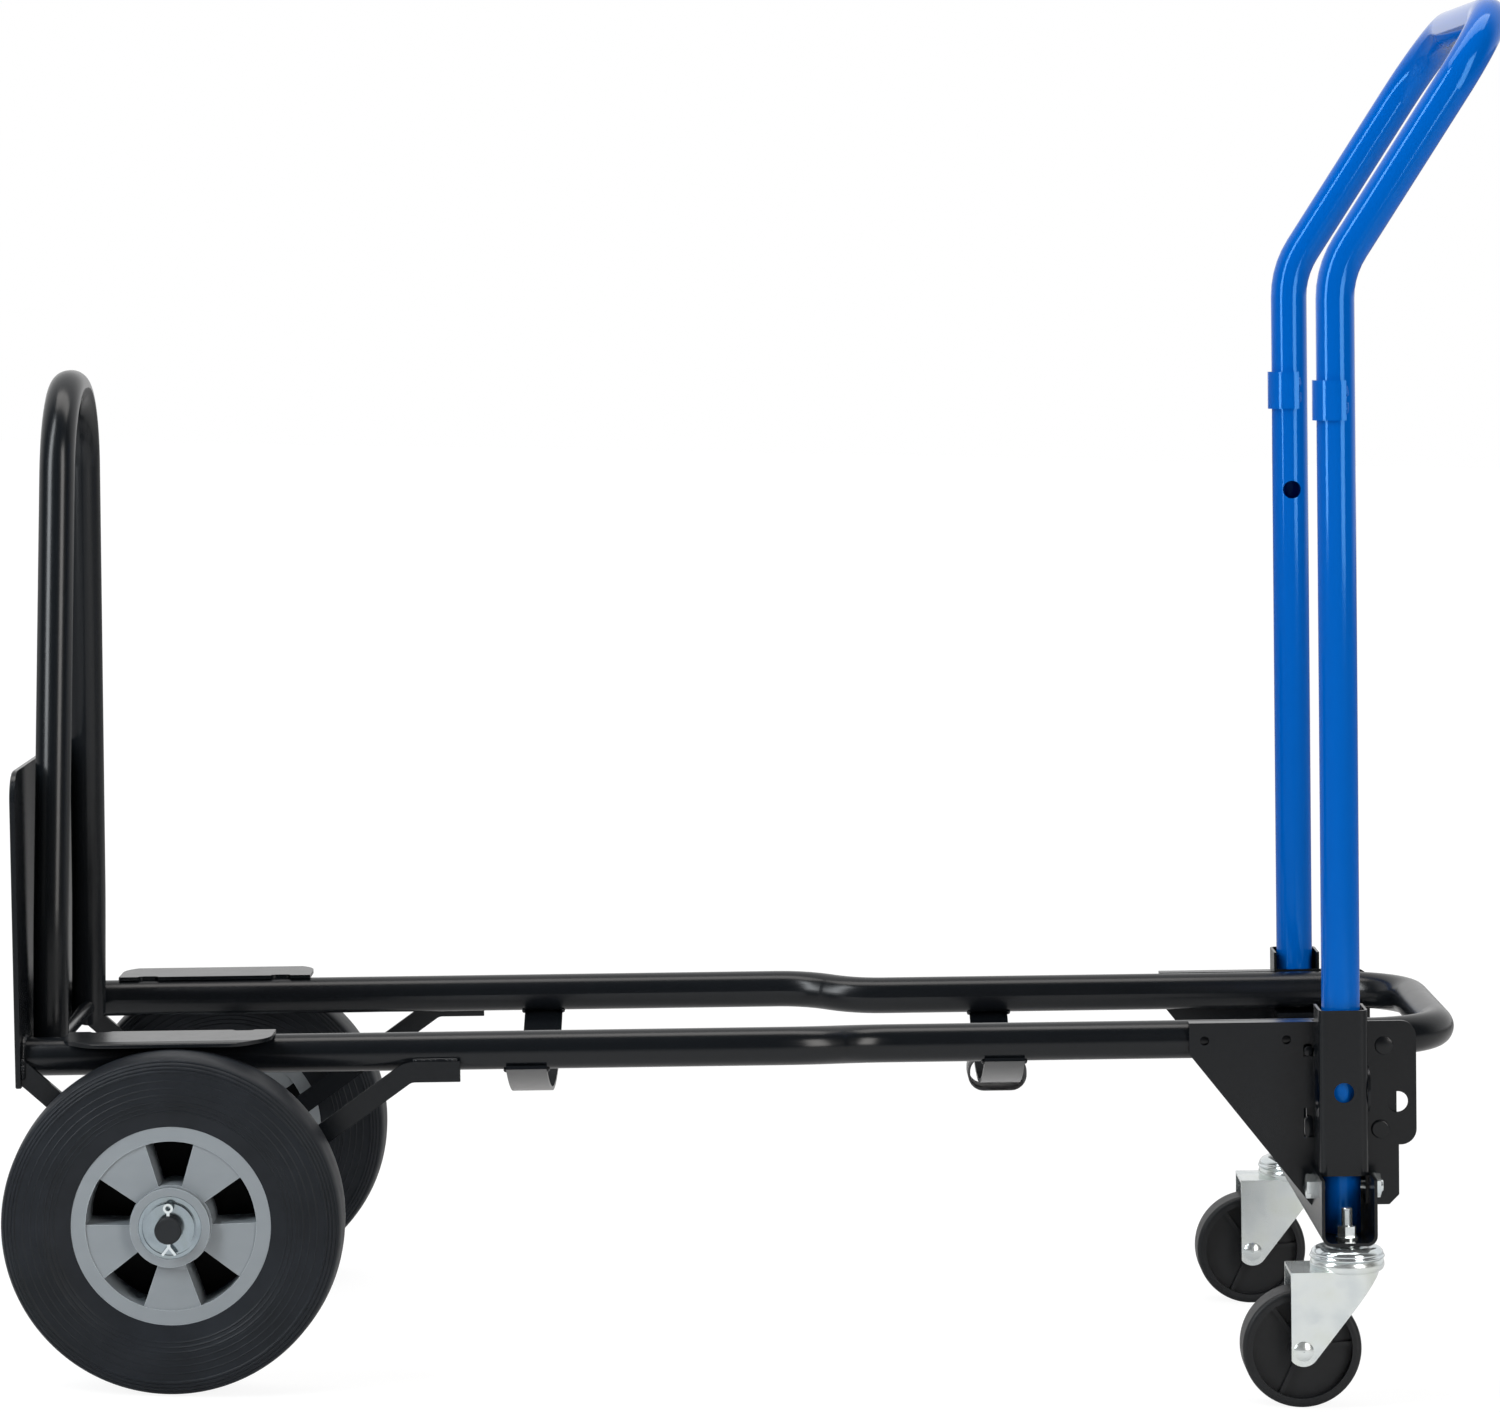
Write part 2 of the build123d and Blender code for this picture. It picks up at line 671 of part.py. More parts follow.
# ---- handle brackets ----------------------------------------------------------------------
plate_in = narrow_half + rail_r
plate_out = plate_in + plate_thick
flange_in = narrow_half + sqrt(rail_r**2 - (plate_top - flange_lip - narrow_z) ** 2)
with BuildPart() as handle_bracket:
    with BuildSketch(side(-plate_in)) as plate_outline:
        with BuildLine():
            Polyline(
                (plate_from, plate_top),
                (plate_from, plate_low_left),
                (plate_slope_end, plate_bottom),
                (plate_step_x - plate_chamfer, plate_bottom),
                (plate_step_x, plate_bottom + plate_chamfer),
                (plate_step_x, plate_step_z),
                (plate_to, plate_step_z),
                (plate_to, plate_top),
                close=True,
            )
        make_face()
        fillet(plate_outline.vertices().group_by(Axis.X)[-1], plate_corner_r)
        with Locations((dimple_x, dimple_z), (dimple_x + dimple_pitch, dimple_z)):
            Circle(dimple_r, mode=Mode.SUBTRACT)
        with Locations((tool_hole_x, tool_hole_z)):
            Circle(tool_hole_r, mode=Mode.SUBTRACT)
        with Locations((handle_x, lock_z)):
            Circle(lock_hole_r, mode=Mode.SUBTRACT)
        with Locations((rivet_x, rivet_z)):
            Circle(rivet_shank_r, mode=Mode.SUBTRACT)
        # The caster channel's walls pass through two slots that are open below.
        for way in (1, -1):
            with Locations((handle_x + way * (sleeve_half + channel_sheet / 2), channel_top)):
                Rectangle(
                    channel_sheet,
                    channel_top - plate_bottom + 1,
                    align=(Align.CENTER, Align.MAX),
                    mode=Mode.SUBTRACT,
                )
        slot_x = handle_x - sleeve_half - tab_slot_wide / 2
        for slot_top, slot_bottom in ((-3.0, -15.0), (-54.0, -76.5)):
            with Locations((slot_x, (slot_top + slot_bottom) / 2)):
                Rectangle(tab_slot_wide, slot_top - slot_bottom, mode=Mode.SUBTRACT)
    extrude(amount=plate_thick)
    # Top flange turned in over the rail's shoulder.
    with BuildSketch(across(plate_from)):
        with Locations((-plate_in, plate_top)):
            Rectangle(plate_in - flange_in, plate_thick, align=(Align.MIN, Align.MAX))
        with Locations((-narrow_half, narrow_z)):
            Circle(rail_r, mode=Mode.SUBTRACT)
    extrude(amount=flange_to - plate_from)
keep_pair(handle_bracket.part, "handle_bracket")

# ---- sleeves ------------------------------------------------------------------------------
sleeve_face = plate_out + sleeve_depth


def sleeve_outline(depth):
    """Draw the sleeve's U section, open towards the bracket, as deep as given."""
    with Locations((handle_x, -sleeve_face)):
        RectangleRounded(2 * sleeve_half, 2 * sleeve_depth, sleeve_corner_r, align=(Align.CENTER, Align.MIN))
    with Locations((handle_x, -sleeve_face + sleeve_wall)):
        RectangleRounded(
            2 * (sleeve_half - sleeve_wall),
            2 * sleeve_depth,
            sleeve_corner_r - sleeve_wall,
            align=(Align.CENTER, Align.MIN),
            mode=Mode.SUBTRACT,
        )
    with Locations((handle_x, -plate_out - depth / 2)):
        Rectangle(2 * sleeve_half, depth, mode=Mode.INTERSECT)


with BuildPart() as sleeve:
    with BuildSketch(deck(sleeve_bottom)):
        sleeve_outline(sleeve_depth)
    extrude(amount=sleeve_top - sleeve_bottom)
    # Ears that reach down beside the handle's foot to take the channel's bolt.
    with BuildSketch(deck(ear_bottom)):
        sleeve_outline(ear_deep)
    extrude(amount=sleeve_bottom - ear_bottom)
    with BuildSketch(across(handle_x + sleeve_half)):
        with Locations((-handle_half, lock_z)):
            Circle(cross_hole_r + sleeve_wall)
    extrude(amount=cross_collar)
    with BuildSketch(across(handle_x - sleeve_half)):
        with Locations((-handle_half, lock_z)):
            Circle(cross_hole_r)
        with Locations((-handle_half, bolt_z)):
            Circle(bolt_r + running)
    extrude(amount=2 * sleeve_half + cross_collar, mode=Mode.SUBTRACT)
    with BuildSketch(side(-sleeve_face)):
        with Locations((handle_x, lock_z)):
            Circle(front_hole_r)
    extrude(amount=-sleeve_wall, mode=Mode.SUBTRACT)
keep_pair(sleeve.part, "sleeve")

# ---- caster channel -----------------------------------------------------------------------
channel_outer = sleeve_half + channel_sheet
channel_base = channel_floor - channel_sheet
with BuildPart() as caster_channel:
    with BuildSketch(side(channel_half)):
        with Locations((handle_x, channel_base)):
            RectangleRounded(
                2 * channel_outer,
                3 * channel_outer,
                channel_corner_r,
                align=(Align.CENTER, Align.MIN),
            )
        with Locations((handle_x, channel_floor)):
            RectangleRounded(
                2 * sleeve_half,
                3 * channel_outer,
                channel_corner_r - channel_sheet,
                align=(Align.CENTER, Align.MIN),
                mode=Mode.SUBTRACT,
            )
        with Locations((handle_x, (channel_top + channel_base) / 2)):
            Rectangle(2 * channel_outer, channel_top - channel_base, mode=Mode.INTERSECT)
    extrude(amount=2 * channel_half)
    with BuildSketch(deck(channel_base)):
        with Locations((handle_x, stem_y), (handle_x, -stem_y)):
            Circle(stem_r + running)
    extrude(amount=channel_sheet, mode=Mode.SUBTRACT)
    with BuildSketch(across(handle_x - channel_outer)):
        with Locations((handle_half, bolt_z), (-handle_half, bolt_z)):
            Circle(bolt_r + running)
    extrude(amount=2 * channel_outer, mode=Mode.SUBTRACT)
keep(caster_channel.part, "caster_channel")

bolt_from = handle_x - channel_outer
bolt_to = handle_x + channel_outer + bolt_nut + bolt_end
with BuildPart() as channel_bolt:
    with BuildSketch(across(bolt_from)):
        with Locations((-handle_half, bolt_z)):
            Circle(bolt_r)
    extrude(amount=bolt_to - bolt_from)
    chamfer(channel_bolt.faces().sort_by(Axis.X)[-1].edges(), 0.8)
    with BuildSketch(across(bolt_from)):
        with Locations((-handle_half, bolt_z)):
            RegularPolygon(bolt_flats / 2, 6, major_radius=False, rotation=30)
    extrude(amount=-bolt_head)
keep(both_sides(channel_bolt.part), "channel_bolts")

with BuildPart() as channel_nut:
    with BuildSketch(across(handle_x + channel_outer)):
        with Locations((-handle_half, bolt_z)):
            RegularPolygon(bolt_flats / 2, 6, major_radius=False, rotation=30)
            Circle(bolt_r, mode=Mode.SUBTRACT)
    extrude(amount=bolt_nut)
keep(both_sides(channel_nut.part), "channel_nuts")

# ---- caster stems -------------------------------------------------------------------------
stem_plane = Plane(origin=(handle_x, -stem_y, 0), x_dir=(1, 0, 0), z_dir=(0, -1, 0))
stem_axis = Axis((handle_x, -stem_y, 0), (0, 0, 1))
fork_under = fork_top - fork_thick
with BuildPart() as caster_stem:
    with BuildSketch(stem_plane):
        with BuildLine():
            Polyline(
                (0, stem_top),
                (stem_r - 0.6, stem_top),
                (stem_r, stem_top - 0.6),
                (stem_r, channel_base),
                (spacer_r, channel_base),
                (spacer_r, race_top),
                (kingpin_r, race_top),
                (kingpin_r, fork_under - easy),
                (kingpin_r + 3, fork_under - easy),
                (kingpin_r + 2, fork_under - easy - 3),
                (0, fork_under - easy - 3),
                close=True,
            )
        make_face()
    revolve(axis=stem_axis)
keep_pair(caster_stem.part, "caster_stem")

with BuildPart() as caster_race:
    with BuildSketch(stem_plane):
        with BuildLine():
            crown_start = (spacer_r + 1, race_top)
            crown_side = (race_r, race_split + 2.6)
            lip = (race_r - 0.8, race_split + 0.4)
            bore_low = (kingpin_r, race_split + 0.4)
            bore_high = (kingpin_r, race_top)
            ThreePointArc(crown_start, (race_r - 4.5, race_top - 3.2), crown_side)
            Polyline(crown_side, lip, bore_low, bore_high, crown_start)
        make_face()
    revolve(axis=stem_axis)
keep_pair(caster_race.part, "caster_race")

with BuildPart() as stem_nut:
    with BuildSketch(deck(channel_floor + stem_washer_thick)):
        with Locations((handle_x, -stem_y)):
            RegularPolygon(stem_nut_flats / 2, 6, major_radius=False, rotation=stem_nut_turn)
            Circle(stem_r, mode=Mode.SUBTRACT)
    extrude(amount=stem_nut_thick)
keep(both_sides(stem_nut.part), "stem_nuts")

with BuildPart() as stem_washer:
    with BuildSketch(deck(channel_floor)):
        with Locations((handle_x, -stem_y)):
            Circle(stem_washer_r)
            Circle(stem_r + running, mode=Mode.SUBTRACT)
    extrude(amount=stem_washer_thick)
keep(both_sides(stem_washer.part), "stem_washers")

# ---- caster forks -------------------------------------------------------------------------
fork_low = caster_axle_z - fork_eye_r


def fork_plan(front, back, half, corner_r):
    """Draw a fork's outline from above: square in front, rounded behind the stem."""
    with Locations(((front + back) / 2, -stem_y)):
        outline = Rectangle(back - front, 2 * half)
    fillet(outline.vertices().group_by(Axis.X)[-1], corner_r)


with BuildPart() as caster_fork:
    with BuildSketch(deck(fork_low)):
        fork_plan(fork_front, fork_back, fork_half, fork_wrap_r)
    extrude(amount=fork_top - fork_low)
    with BuildSketch(side(-stem_y + fork_half)):
        with BuildLine():
            CenterArc((caster_axle_x, caster_axle_z), fork_eye_r, 0, 360)
            Line((fork_front, fork_top), (fork_back, fork_top))
            Line((fork_back, fork_top), (fork_back, fork_under))
        make_hull()
    extrude(amount=2 * fork_half, mode=Mode.INTERSECT)
    with BuildSketch(deck(fork_low)):
        inner_half = fork_half - fork_thick
        fork_plan(fork_front - fork_thick, fork_back - fork_thick, inner_half, fork_wrap_r - fork_thick)
    extrude(amount=fork_under - fork_low, mode=Mode.SUBTRACT)
    with BuildSketch(stem_plane):
        with BuildLine():
            dome_low = (lower_race_r - race_bulge, fork_top - fork_thick / 2)
            dome_side = (lower_race_r, (fork_top + race_split) / 2)
            dome_high = (lower_race_r - race_bulge, race_split)
            ThreePointArc(dome_low, dome_side, dome_high)
            Polyline(dome_high, (kingpin_r, race_split), (kingpin_r, dome_low[1]), dome_low)
        make_face()
    revolve(axis=stem_axis)
    with BuildSketch(deck(fork_under)):
        with Locations((handle_x, -stem_y)):
            Circle(kingpin_r + running)
    extrude(amount=race_split - fork_under, mode=Mode.SUBTRACT)
    with BuildSketch(side(-stem_y + fork_half)):
        with Locations((caster_axle_x, caster_axle_z)):
            Circle(caster_pin_r)
    extrude(amount=2 * fork_half, mode=Mode.SUBTRACT)
keep_pair(caster_fork.part, "caster_fork")

# ---- caster wheels ------------------------------------------------------------------------
caster_plane = round_about_y(caster_axle_x, caster_axle_z)
caster_axis = crosswise(caster_axle_x, caster_axle_z)
caster_hub_half = fork_half - fork_thick - easy
cheek_outer = -stem_y - fork_half
cheek_inner = -stem_y + fork_half
dome_r = (caster_rivet_r**2 + caster_rivet_high**2) / (2 * caster_rivet_high)
half_r = caster_rivet_r / 2
half_high = sqrt(dome_r**2 - half_r**2) - dome_r + caster_rivet_high
with BuildPart() as caster_axle:
    with BuildSketch(caster_plane):
        with BuildLine():
            outer_tip = (0, cheek_outer - caster_rivet_high)
            inner_tip = (0, cheek_inner + caster_rivet_high)
            ThreePointArc(outer_tip, (half_r, cheek_outer - half_high), (caster_rivet_r, cheek_outer))
            Polyline(
                (caster_rivet_r, cheek_outer),
                (caster_pin_r, cheek_outer),
                (caster_pin_r, cheek_inner),
                (caster_rivet_r, cheek_inner),
            )
            ThreePointArc((caster_rivet_r, cheek_inner), (half_r, cheek_inner + half_high), inner_tip)
            Line(inner_tip, outer_tip)
        make_face()
    revolve(axis=caster_axis)
keep_pair(caster_axle.part, "caster_axle")

with BuildPart() as caster_bush:
    with BuildSketch(side(-stem_y + caster_hub_half + easy)):
        with Locations((caster_axle_x, caster_axle_z)):
            Circle(caster_bush_r)
            Circle(caster_pin_r + running, mode=Mode.SUBTRACT)
    extrude(amount=2 * caster_hub_half + 2 * easy)
keep_pair(caster_bush.part, "caster_bush")

with BuildPart() as caster_wheel:
    with BuildSketch(caster_plane) as caster_section:
        with Locations(((caster_r + caster_rim_r) / 2, -stem_y)):
            rim_section = Rectangle(caster_r - caster_rim_r, 2 * caster_half)
        fillet(rim_section.vertices().group_by(Axis.X)[-1], caster_edge_r)
        with Locations(((caster_rim_r + caster_hub_r) / 2, -stem_y)):
            Rectangle(caster_rim_r - caster_hub_r, 2 * caster_web_half)
        with Locations(((caster_hub_r + caster_bush_r + running) / 2, -stem_y)):
            Rectangle(caster_hub_r - caster_bush_r - running, 2 * caster_hub_half)
    revolve(axis=caster_axis)
    with BuildSketch(side(-stem_y + caster_rib_half)):
        for turn in range(caster_ribs):
            angle = caster_rib_start + turn * 360 / caster_ribs
            with BuildLine():
                middle = (caster_axle_x, caster_axle_z)
                spoke = PolarLine(middle, caster_hub_r - 1, angle, mode=Mode.PRIVATE)
                PolarLine(spoke @ 1, caster_rim_r - caster_hub_r + 2, angle)
            trace(line_width=caster_rib_thick)
    extrude(amount=2 * caster_rib_half)
keep_pair(caster_wheel.part, "caster_wheel")

# ---- latches ------------------------------------------------------------------------------
base_in = plate_in - latch_sheet
strap_back = plate_in - latch_strap_deep
with BuildPart() as latch_housing:
    with BuildSketch(side(-base_in)) as base_outline:
        with Locations(((latch_from + latch_to) / 2, (latch_top + latch_bottom) / 2)):
            Rectangle(latch_to - latch_from, latch_top - latch_bottom)
        fillet(base_outline.vertices(), 4)
        with Locations((handle_x, lock_z)):
            Circle(lock_hole_r, mode=Mode.SUBTRACT)
        with Locations((rivet_x, rivet_z)):
            Circle(rivet_shank_r, mode=Mode.SUBTRACT)
    extrude(amount=latch_sheet)
    with BuildSketch(deck(latch_strap_bottom)):
        with Locations((handle_x, -base_in)):
            Rectangle(2 * latch_strap_half, base_in - strap_back, align=(Align.CENTER, Align.MIN))
            Rectangle(
                2 * (latch_strap_half - latch_sheet),
                base_in - strap_back - latch_sheet,
                align=(Align.CENTER, Align.MIN),
                mode=Mode.SUBTRACT,
            )
    extrude(amount=latch_strap_top - latch_strap_bottom)
    with BuildSketch(side(-strap_back)):
        with Locations((handle_x, lock_z)):
            Circle(pin_rod_r + running)
    extrude(amount=latch_sheet, mode=Mode.SUBTRACT)
keep_pair(latch_housing.part, "latch_housing")

pin_tip = plate_out + 0.5
pin_shoulder = pin_tip - pin_long
tab_outer = strap_back - pin_travel - easy
rod_end = tab_outer - latch_tab_thick - latch_nut_thick
with BuildPart() as latch_pin:
    with BuildSketch(side(-pin_shoulder)):
        with Locations((handle_x, lock_z)):
            Circle(lock_hole_r - pin_play)
    extrude(amount=pin_long)
    chamfer(latch_pin.faces().sort_by(Axis.Y)[0].edges(), 1.5)
    with BuildSketch(side(-rod_end)):
        with Locations((handle_x, lock_z)):
            Circle(pin_rod_r)
    extrude(amount=pin_shoulder - rod_end)
keep_pair(latch_pin.part, "latch_pin")

with BuildPart() as latch_tab:
    with BuildSketch(side(-(tab_outer - latch_tab_thick))):
        with BuildLine():
            half = latch_tab_wide / 2
            Polyline(
                (handle_x - half, lock_z - half),
                (latch_tab_tip - half, lock_z - half),
                (latch_tab_tip, lock_z),
                (latch_tab_tip - half, lock_z + half),
                (handle_x - half, lock_z + half),
                close=True,
            )
        make_face()
        with Locations((handle_x, lock_z)):
            Circle(pin_rod_r, mode=Mode.SUBTRACT)
    extrude(amount=latch_tab_thick)
keep_pair(latch_tab.part, "latch_tab")

with BuildPart() as latch_nut:
    with BuildSketch(side(-rod_end)):
        with Locations((handle_x, lock_z)):
            RegularPolygon(latch_nut_flats / 2, 6, major_radius=False)
            Circle(pin_rod_r, mode=Mode.SUBTRACT)
    extrude(amount=latch_nut_thick)
keep_pair(latch_nut.part, "latch_nut")

spring_from = strap_back + latch_sheet + spring_wire_r + running
spring_long = pin_shoulder - spring_wire_r - running - spring_from
spring_r = pin_rod_r + spring_wire_r + easy
with BuildPart() as latch_spring:
    with BuildLine():
        coil = Helix(
            pitch=spring_long / spring_turns,
            height=spring_long,
            radius=spring_r,
            center=(handle_x, -spring_from, lock_z),
            direction=(0, -1, 0),
        )
    with BuildSketch(Plane(origin=coil @ 0, z_dir=coil % 0)):
        Circle(spring_wire_r)
    sweep(path=coil)
keep_pair(latch_spring.part, "latch_spring")

# ---- bracket rivets -----------------------------------------------------------------------
with BuildPart() as bracket_rivet:
    with BuildSketch(side(-base_in)):
        with Locations((rivet_x, rivet_z)):
            Circle(rivet_shank_r)
    extrude(amount=plate_out - base_in)
    with BuildSketch(side(-plate_out)):
        with Locations((rivet_x, rivet_z)):
            Circle(rivet_r)
    extrude(amount=rivet_high)
    with BuildSketch(side(-base_in)):
        with Locations((rivet_x, rivet_z)):
            Circle(rivet_r)
    extrude(amount=-rivet_high)
    fillet(bracket_rivet.faces().filter_by(Axis.Y).group_by(SortBy.AREA)[-1].edges().group_by(Axis.Y)[0], 1.2)
keep(both_sides(bracket_rivet.part), "bracket_rivets")

# ---- set the truck down on its wheels -----------------------------------------------------
# Seen from the left, both wheels' lowest points lie on one straight floor.
wheel_gap = hypot(caster_axle_x - axle_x, caster_axle_z - axle_z)
line_angle = atan2(caster_axle_z - axle_z, caster_axle_x - axle_x)
tilt = degrees(asin((wheel_r - caster_r) / wheel_gap) + line_angle)
standing = {name: Rot(Y=tilt) * shape for name, shape in pieces.items()}
whole = Compound(list(standing.values())).bounding_box()
to_floor = Pos(-(whole.min.X + whole.max.X) / 2, 0, -whole.min.Z)

for name, shape in standing.items():
    placed = to_floor * shape
    placed.label = name
    export_step(placed, f"parts/{name}.step")
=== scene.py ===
"""Convertible hand truck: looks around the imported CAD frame, in metres."""

import json
import math
import random

import bpy
from mathutils import Matrix, Vector


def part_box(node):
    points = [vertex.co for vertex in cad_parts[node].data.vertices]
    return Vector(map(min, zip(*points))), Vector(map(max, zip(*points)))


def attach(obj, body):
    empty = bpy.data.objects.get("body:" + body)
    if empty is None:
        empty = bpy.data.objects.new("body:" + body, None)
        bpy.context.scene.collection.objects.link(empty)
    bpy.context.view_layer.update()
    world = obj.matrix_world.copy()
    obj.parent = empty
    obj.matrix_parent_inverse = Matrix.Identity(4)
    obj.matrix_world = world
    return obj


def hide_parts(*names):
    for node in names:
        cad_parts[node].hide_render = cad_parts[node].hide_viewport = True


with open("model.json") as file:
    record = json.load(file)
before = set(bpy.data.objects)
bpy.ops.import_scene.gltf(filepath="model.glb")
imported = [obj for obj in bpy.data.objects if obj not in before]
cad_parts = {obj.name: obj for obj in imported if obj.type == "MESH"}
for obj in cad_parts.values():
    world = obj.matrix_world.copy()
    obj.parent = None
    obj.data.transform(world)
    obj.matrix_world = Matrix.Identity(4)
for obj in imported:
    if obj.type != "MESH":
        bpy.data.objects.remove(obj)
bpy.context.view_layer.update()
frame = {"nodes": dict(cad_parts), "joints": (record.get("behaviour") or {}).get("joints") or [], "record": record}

scene = bpy.context.scene
SIDES = (("left", -1), ("right", 1))
MM = 0.001

# ---- the frame's own directions -----------------------------------------------------------
# The rails lean a little as the truck stands.  Places on it are given in the rails' directions,
# in millimetres, from the point level with the load loop's hinge at the toe plate's outer face.
JOINTS = {joint["name"]: joint for joint in frame["joints"]}
HINGE_AT = Vector(JOINTS["load_loop_fold"]["pos_m"])
HINGE_X = 18.4  # how far the hinge lies behind the toe plate's outer face
ACROSS = Vector((0, 1, 0))
UP = Vector(JOINTS["handle_lift"]["axis"]).normalized()
ALONG = ACROSS.cross(UP)


def at(x, y, z):
    """World place of a point given along, across and above the rails."""
    return HINGE_AT + (ALONG * (x - HINGE_X) + ACROSS * y + UP * z) * MM


# ---- camera -------------------------------------------------------------------------------
CAMERA_AT = Vector((-0.0087, -4.014, 0.8384))
CAMERA_PITCH = 3.144  # degrees down
CAMERA_YAW = 0.0382  # degrees to the right
CAMERA_ROLL = 1.0948  # degrees that the camera's right side is raised
CAMERA_SHIFT = -0.10
LENS = 123.48
SENSOR = 36.0


def make_camera():
    """Long lens at the level of the handle's upper half, a little shifted down."""
    data = bpy.data.cameras.new("camera")
    data.lens = LENS
    data.sensor_width = SENSOR
    data.shift_y = CAMERA_SHIFT
    data.clip_start, data.clip_end = 0.1, 80
    camera = bpy.data.objects.new("camera", data)
    scene.collection.objects.link(camera)
    yaw, pitch, roll = map(math.radians, (CAMERA_YAW, CAMERA_PITCH, CAMERA_ROLL))
    ahead = Vector((math.sin(yaw), math.cos(yaw), 0))
    forward = ahead * math.cos(pitch) - Vector((0, 0, math.sin(pitch)))
    level = Vector((math.cos(yaw), -math.sin(yaw), 0))
    up = level.cross(forward)
    right = level * math.cos(roll) + up * math.sin(roll)
    up = right.cross(forward)
    turn = Matrix((right, up, -forward)).transposed()
    camera.matrix_world = Matrix.Translation(CAMERA_AT) @ turn.to_4x4()
    scene.camera = camera


# ---- material helpers ---------------------------------------------------------------------
class Nodes:
    """Short way to write one procedural material."""

    def __init__(self, name):
        self.material = bpy.data.materials.new(name)
        self.material.use_nodes = True
        self.tree = self.material.node_tree
        self.shader = self.tree.nodes["Principled BSDF"]

    def add(self, kind, **settings):
        """Add a node; settings name its properties, or its sockets where it has no such property.

        An underscore in a socket's name stands for a space.
        """
        node = self.tree.nodes.new(kind)
        for key, value in settings.items():
            if hasattr(node, key):
                setattr(node, key, value)
            else:
                node.inputs[key.replace("_", " ")].default_value = value
        return node

    def link(self, source, target):
        self.tree.links.new(source, target)

    def set(self, **values):
        """Set the shader's own sockets."""
        for key, value in values.items():
            self.shader.inputs[key.replace("_", " ")].default_value = value

    def place(self, scale=(1, 1, 1)):
        """Object coordinates, stretched."""
        coords = self.add("ShaderNodeTexCoord")
        mapping = self.add("ShaderNodeMapping")
        mapping.inputs["Scale"].default_value = scale
        self.link(coords.outputs["Object"], mapping.inputs["Vector"])
        return mapping.outputs["Vector"]

    def noise(self, size, detail, place=None, roughness=0.5):
        """Noise whose patches are about size metres across."""
        node = self.add("ShaderNodeTexNoise", Detail=detail, Roughness=roughness)
        node.inputs["Scale"].default_value = 1 / size
        self.link(place or self.place(), node.inputs["Vector"])
        return node.outputs["Fac"]

    def ramp(self, factor, *stops):
        """Colour ramp; stops are (position, colour)."""
        node = self.add("ShaderNodeValToRGB")
        band = node.color_ramp
        while len(band.elements) < len(stops):
            band.elements.new(0.5)
        for element, (position, colour) in zip(band.elements, stops):
            element.position = position
            element.color = (*colour, 1)
        self.link(factor, node.inputs["Fac"])
        return node.outputs["Color"]

    def spread(self, factor, low, high):
        """Map a 0..1 factor to low..high."""
        node = self.add("ShaderNodeMapRange")
        node.inputs["To Min"].default_value = low
        node.inputs["To Max"].default_value = high
        self.link(factor, node.inputs["Value"])
        return node.outputs["Result"]

    def mix(self, factor, first, second):
        """Mix two colours (sockets or triples) by a factor (socket or number)."""
        node = self.add("ShaderNodeMix", data_type="RGBA")
        sockets = (node.inputs[0], node.inputs[6], node.inputs[7])  # the factor and the two colours
        for socket, value in zip(sockets, (factor, first, second)):
            if isinstance(value, bpy.types.NodeSocket):
                self.link(value, socket)
            elif hasattr(value, "__len__"):
                socket.default_value = (*value, 1)
            else:
                socket.default_value = value
        return node.outputs[2]

    def bump(self, height, distance, strength, under=None):
        """Bump whose height factor counts for a distance in metres, on top of another if given."""
        node = self.add("ShaderNodeBump", Strength=strength)
        node.inputs["Distance"].default_value = distance
        self.link(height, node.inputs["Height"])
        if under:
            self.link(under, node.inputs["Normal"])
        return node.outputs["Normal"]

    def edge_highlight_mask(self, radius, low, high):
        """Factor that rises on sharp edges, from the bevel shader's turned normal, where a highlight is painted.
        """
        bevel = self.add("ShaderNodeBevel", samples=4, Radius=radius)
        geometry = self.add("ShaderNodeNewGeometry")
        dot = self.add("ShaderNodeVectorMath", operation="DOT_PRODUCT")
        self.link(bevel.outputs["Normal"], dot.inputs[0])
        self.link(geometry.outputs["Normal"], dot.inputs[1])
        node = self.add("ShaderNodeMapRange")
        node.inputs["From Min"].default_value = high
        node.inputs["From Max"].default_value = low
        self.link(dot.outputs["Value"], node.inputs["Value"])
        return node.outputs["Result"]


def powder_coat(name, deep, pale, rough, peel, **gloss):
    """Painted steel: slight mottling of the colour and an orange-peel surface."""
    m = Nodes(name)
    tone = m.noise(size=0.05, detail=3)
    m.link(m.mix(m.spread(tone, low=0.2, high=0.8), deep, pale), m.shader.inputs["Base Color"])
    polish = m.noise(size=0.012, detail=4)
    m.link(m.spread(polish, low=0.9 * rough, high=1.1 * rough), m.shader.inputs["Roughness"])
    fine = m.bump(m.noise(size=0.0020, detail=2), distance=peel, strength=0.5)
    peeled = m.bump(m.noise(size=0.0065, detail=1), distance=peel, strength=0.5, under=fine)
    m.link(peeled, m.shader.inputs["Normal"])
    m.link(peeled, m.shader.inputs["Coat Normal"])
    m.set(**gloss)
    return m.material


def bright_zinc(name, dark, mid, pale, metal, rough):
    """Bright zinc plate: pale cool metal, faintly cloudy, with fine rolling lines."""
    m = Nodes(name)
    clouds = m.noise(size=0.02, detail=3)
    m.link(m.ramp(clouds, (0.3, dark), (0.5, mid), (0.75, pale)), m.shader.inputs["Base Color"])
    polish = m.noise(size=0.009, detail=3)
    m.link(m.spread(polish, low=0.88 * rough, high=1.12 * rough), m.shader.inputs["Roughness"])
    lines = m.noise(size=0.002, detail=2, place=m.place(scale=(1, 1, 8)))
    m.link(m.bump(lines, distance=0.00002, strength=0.3), m.shader.inputs["Normal"])
    m.set(Metallic=metal)
    return m.material


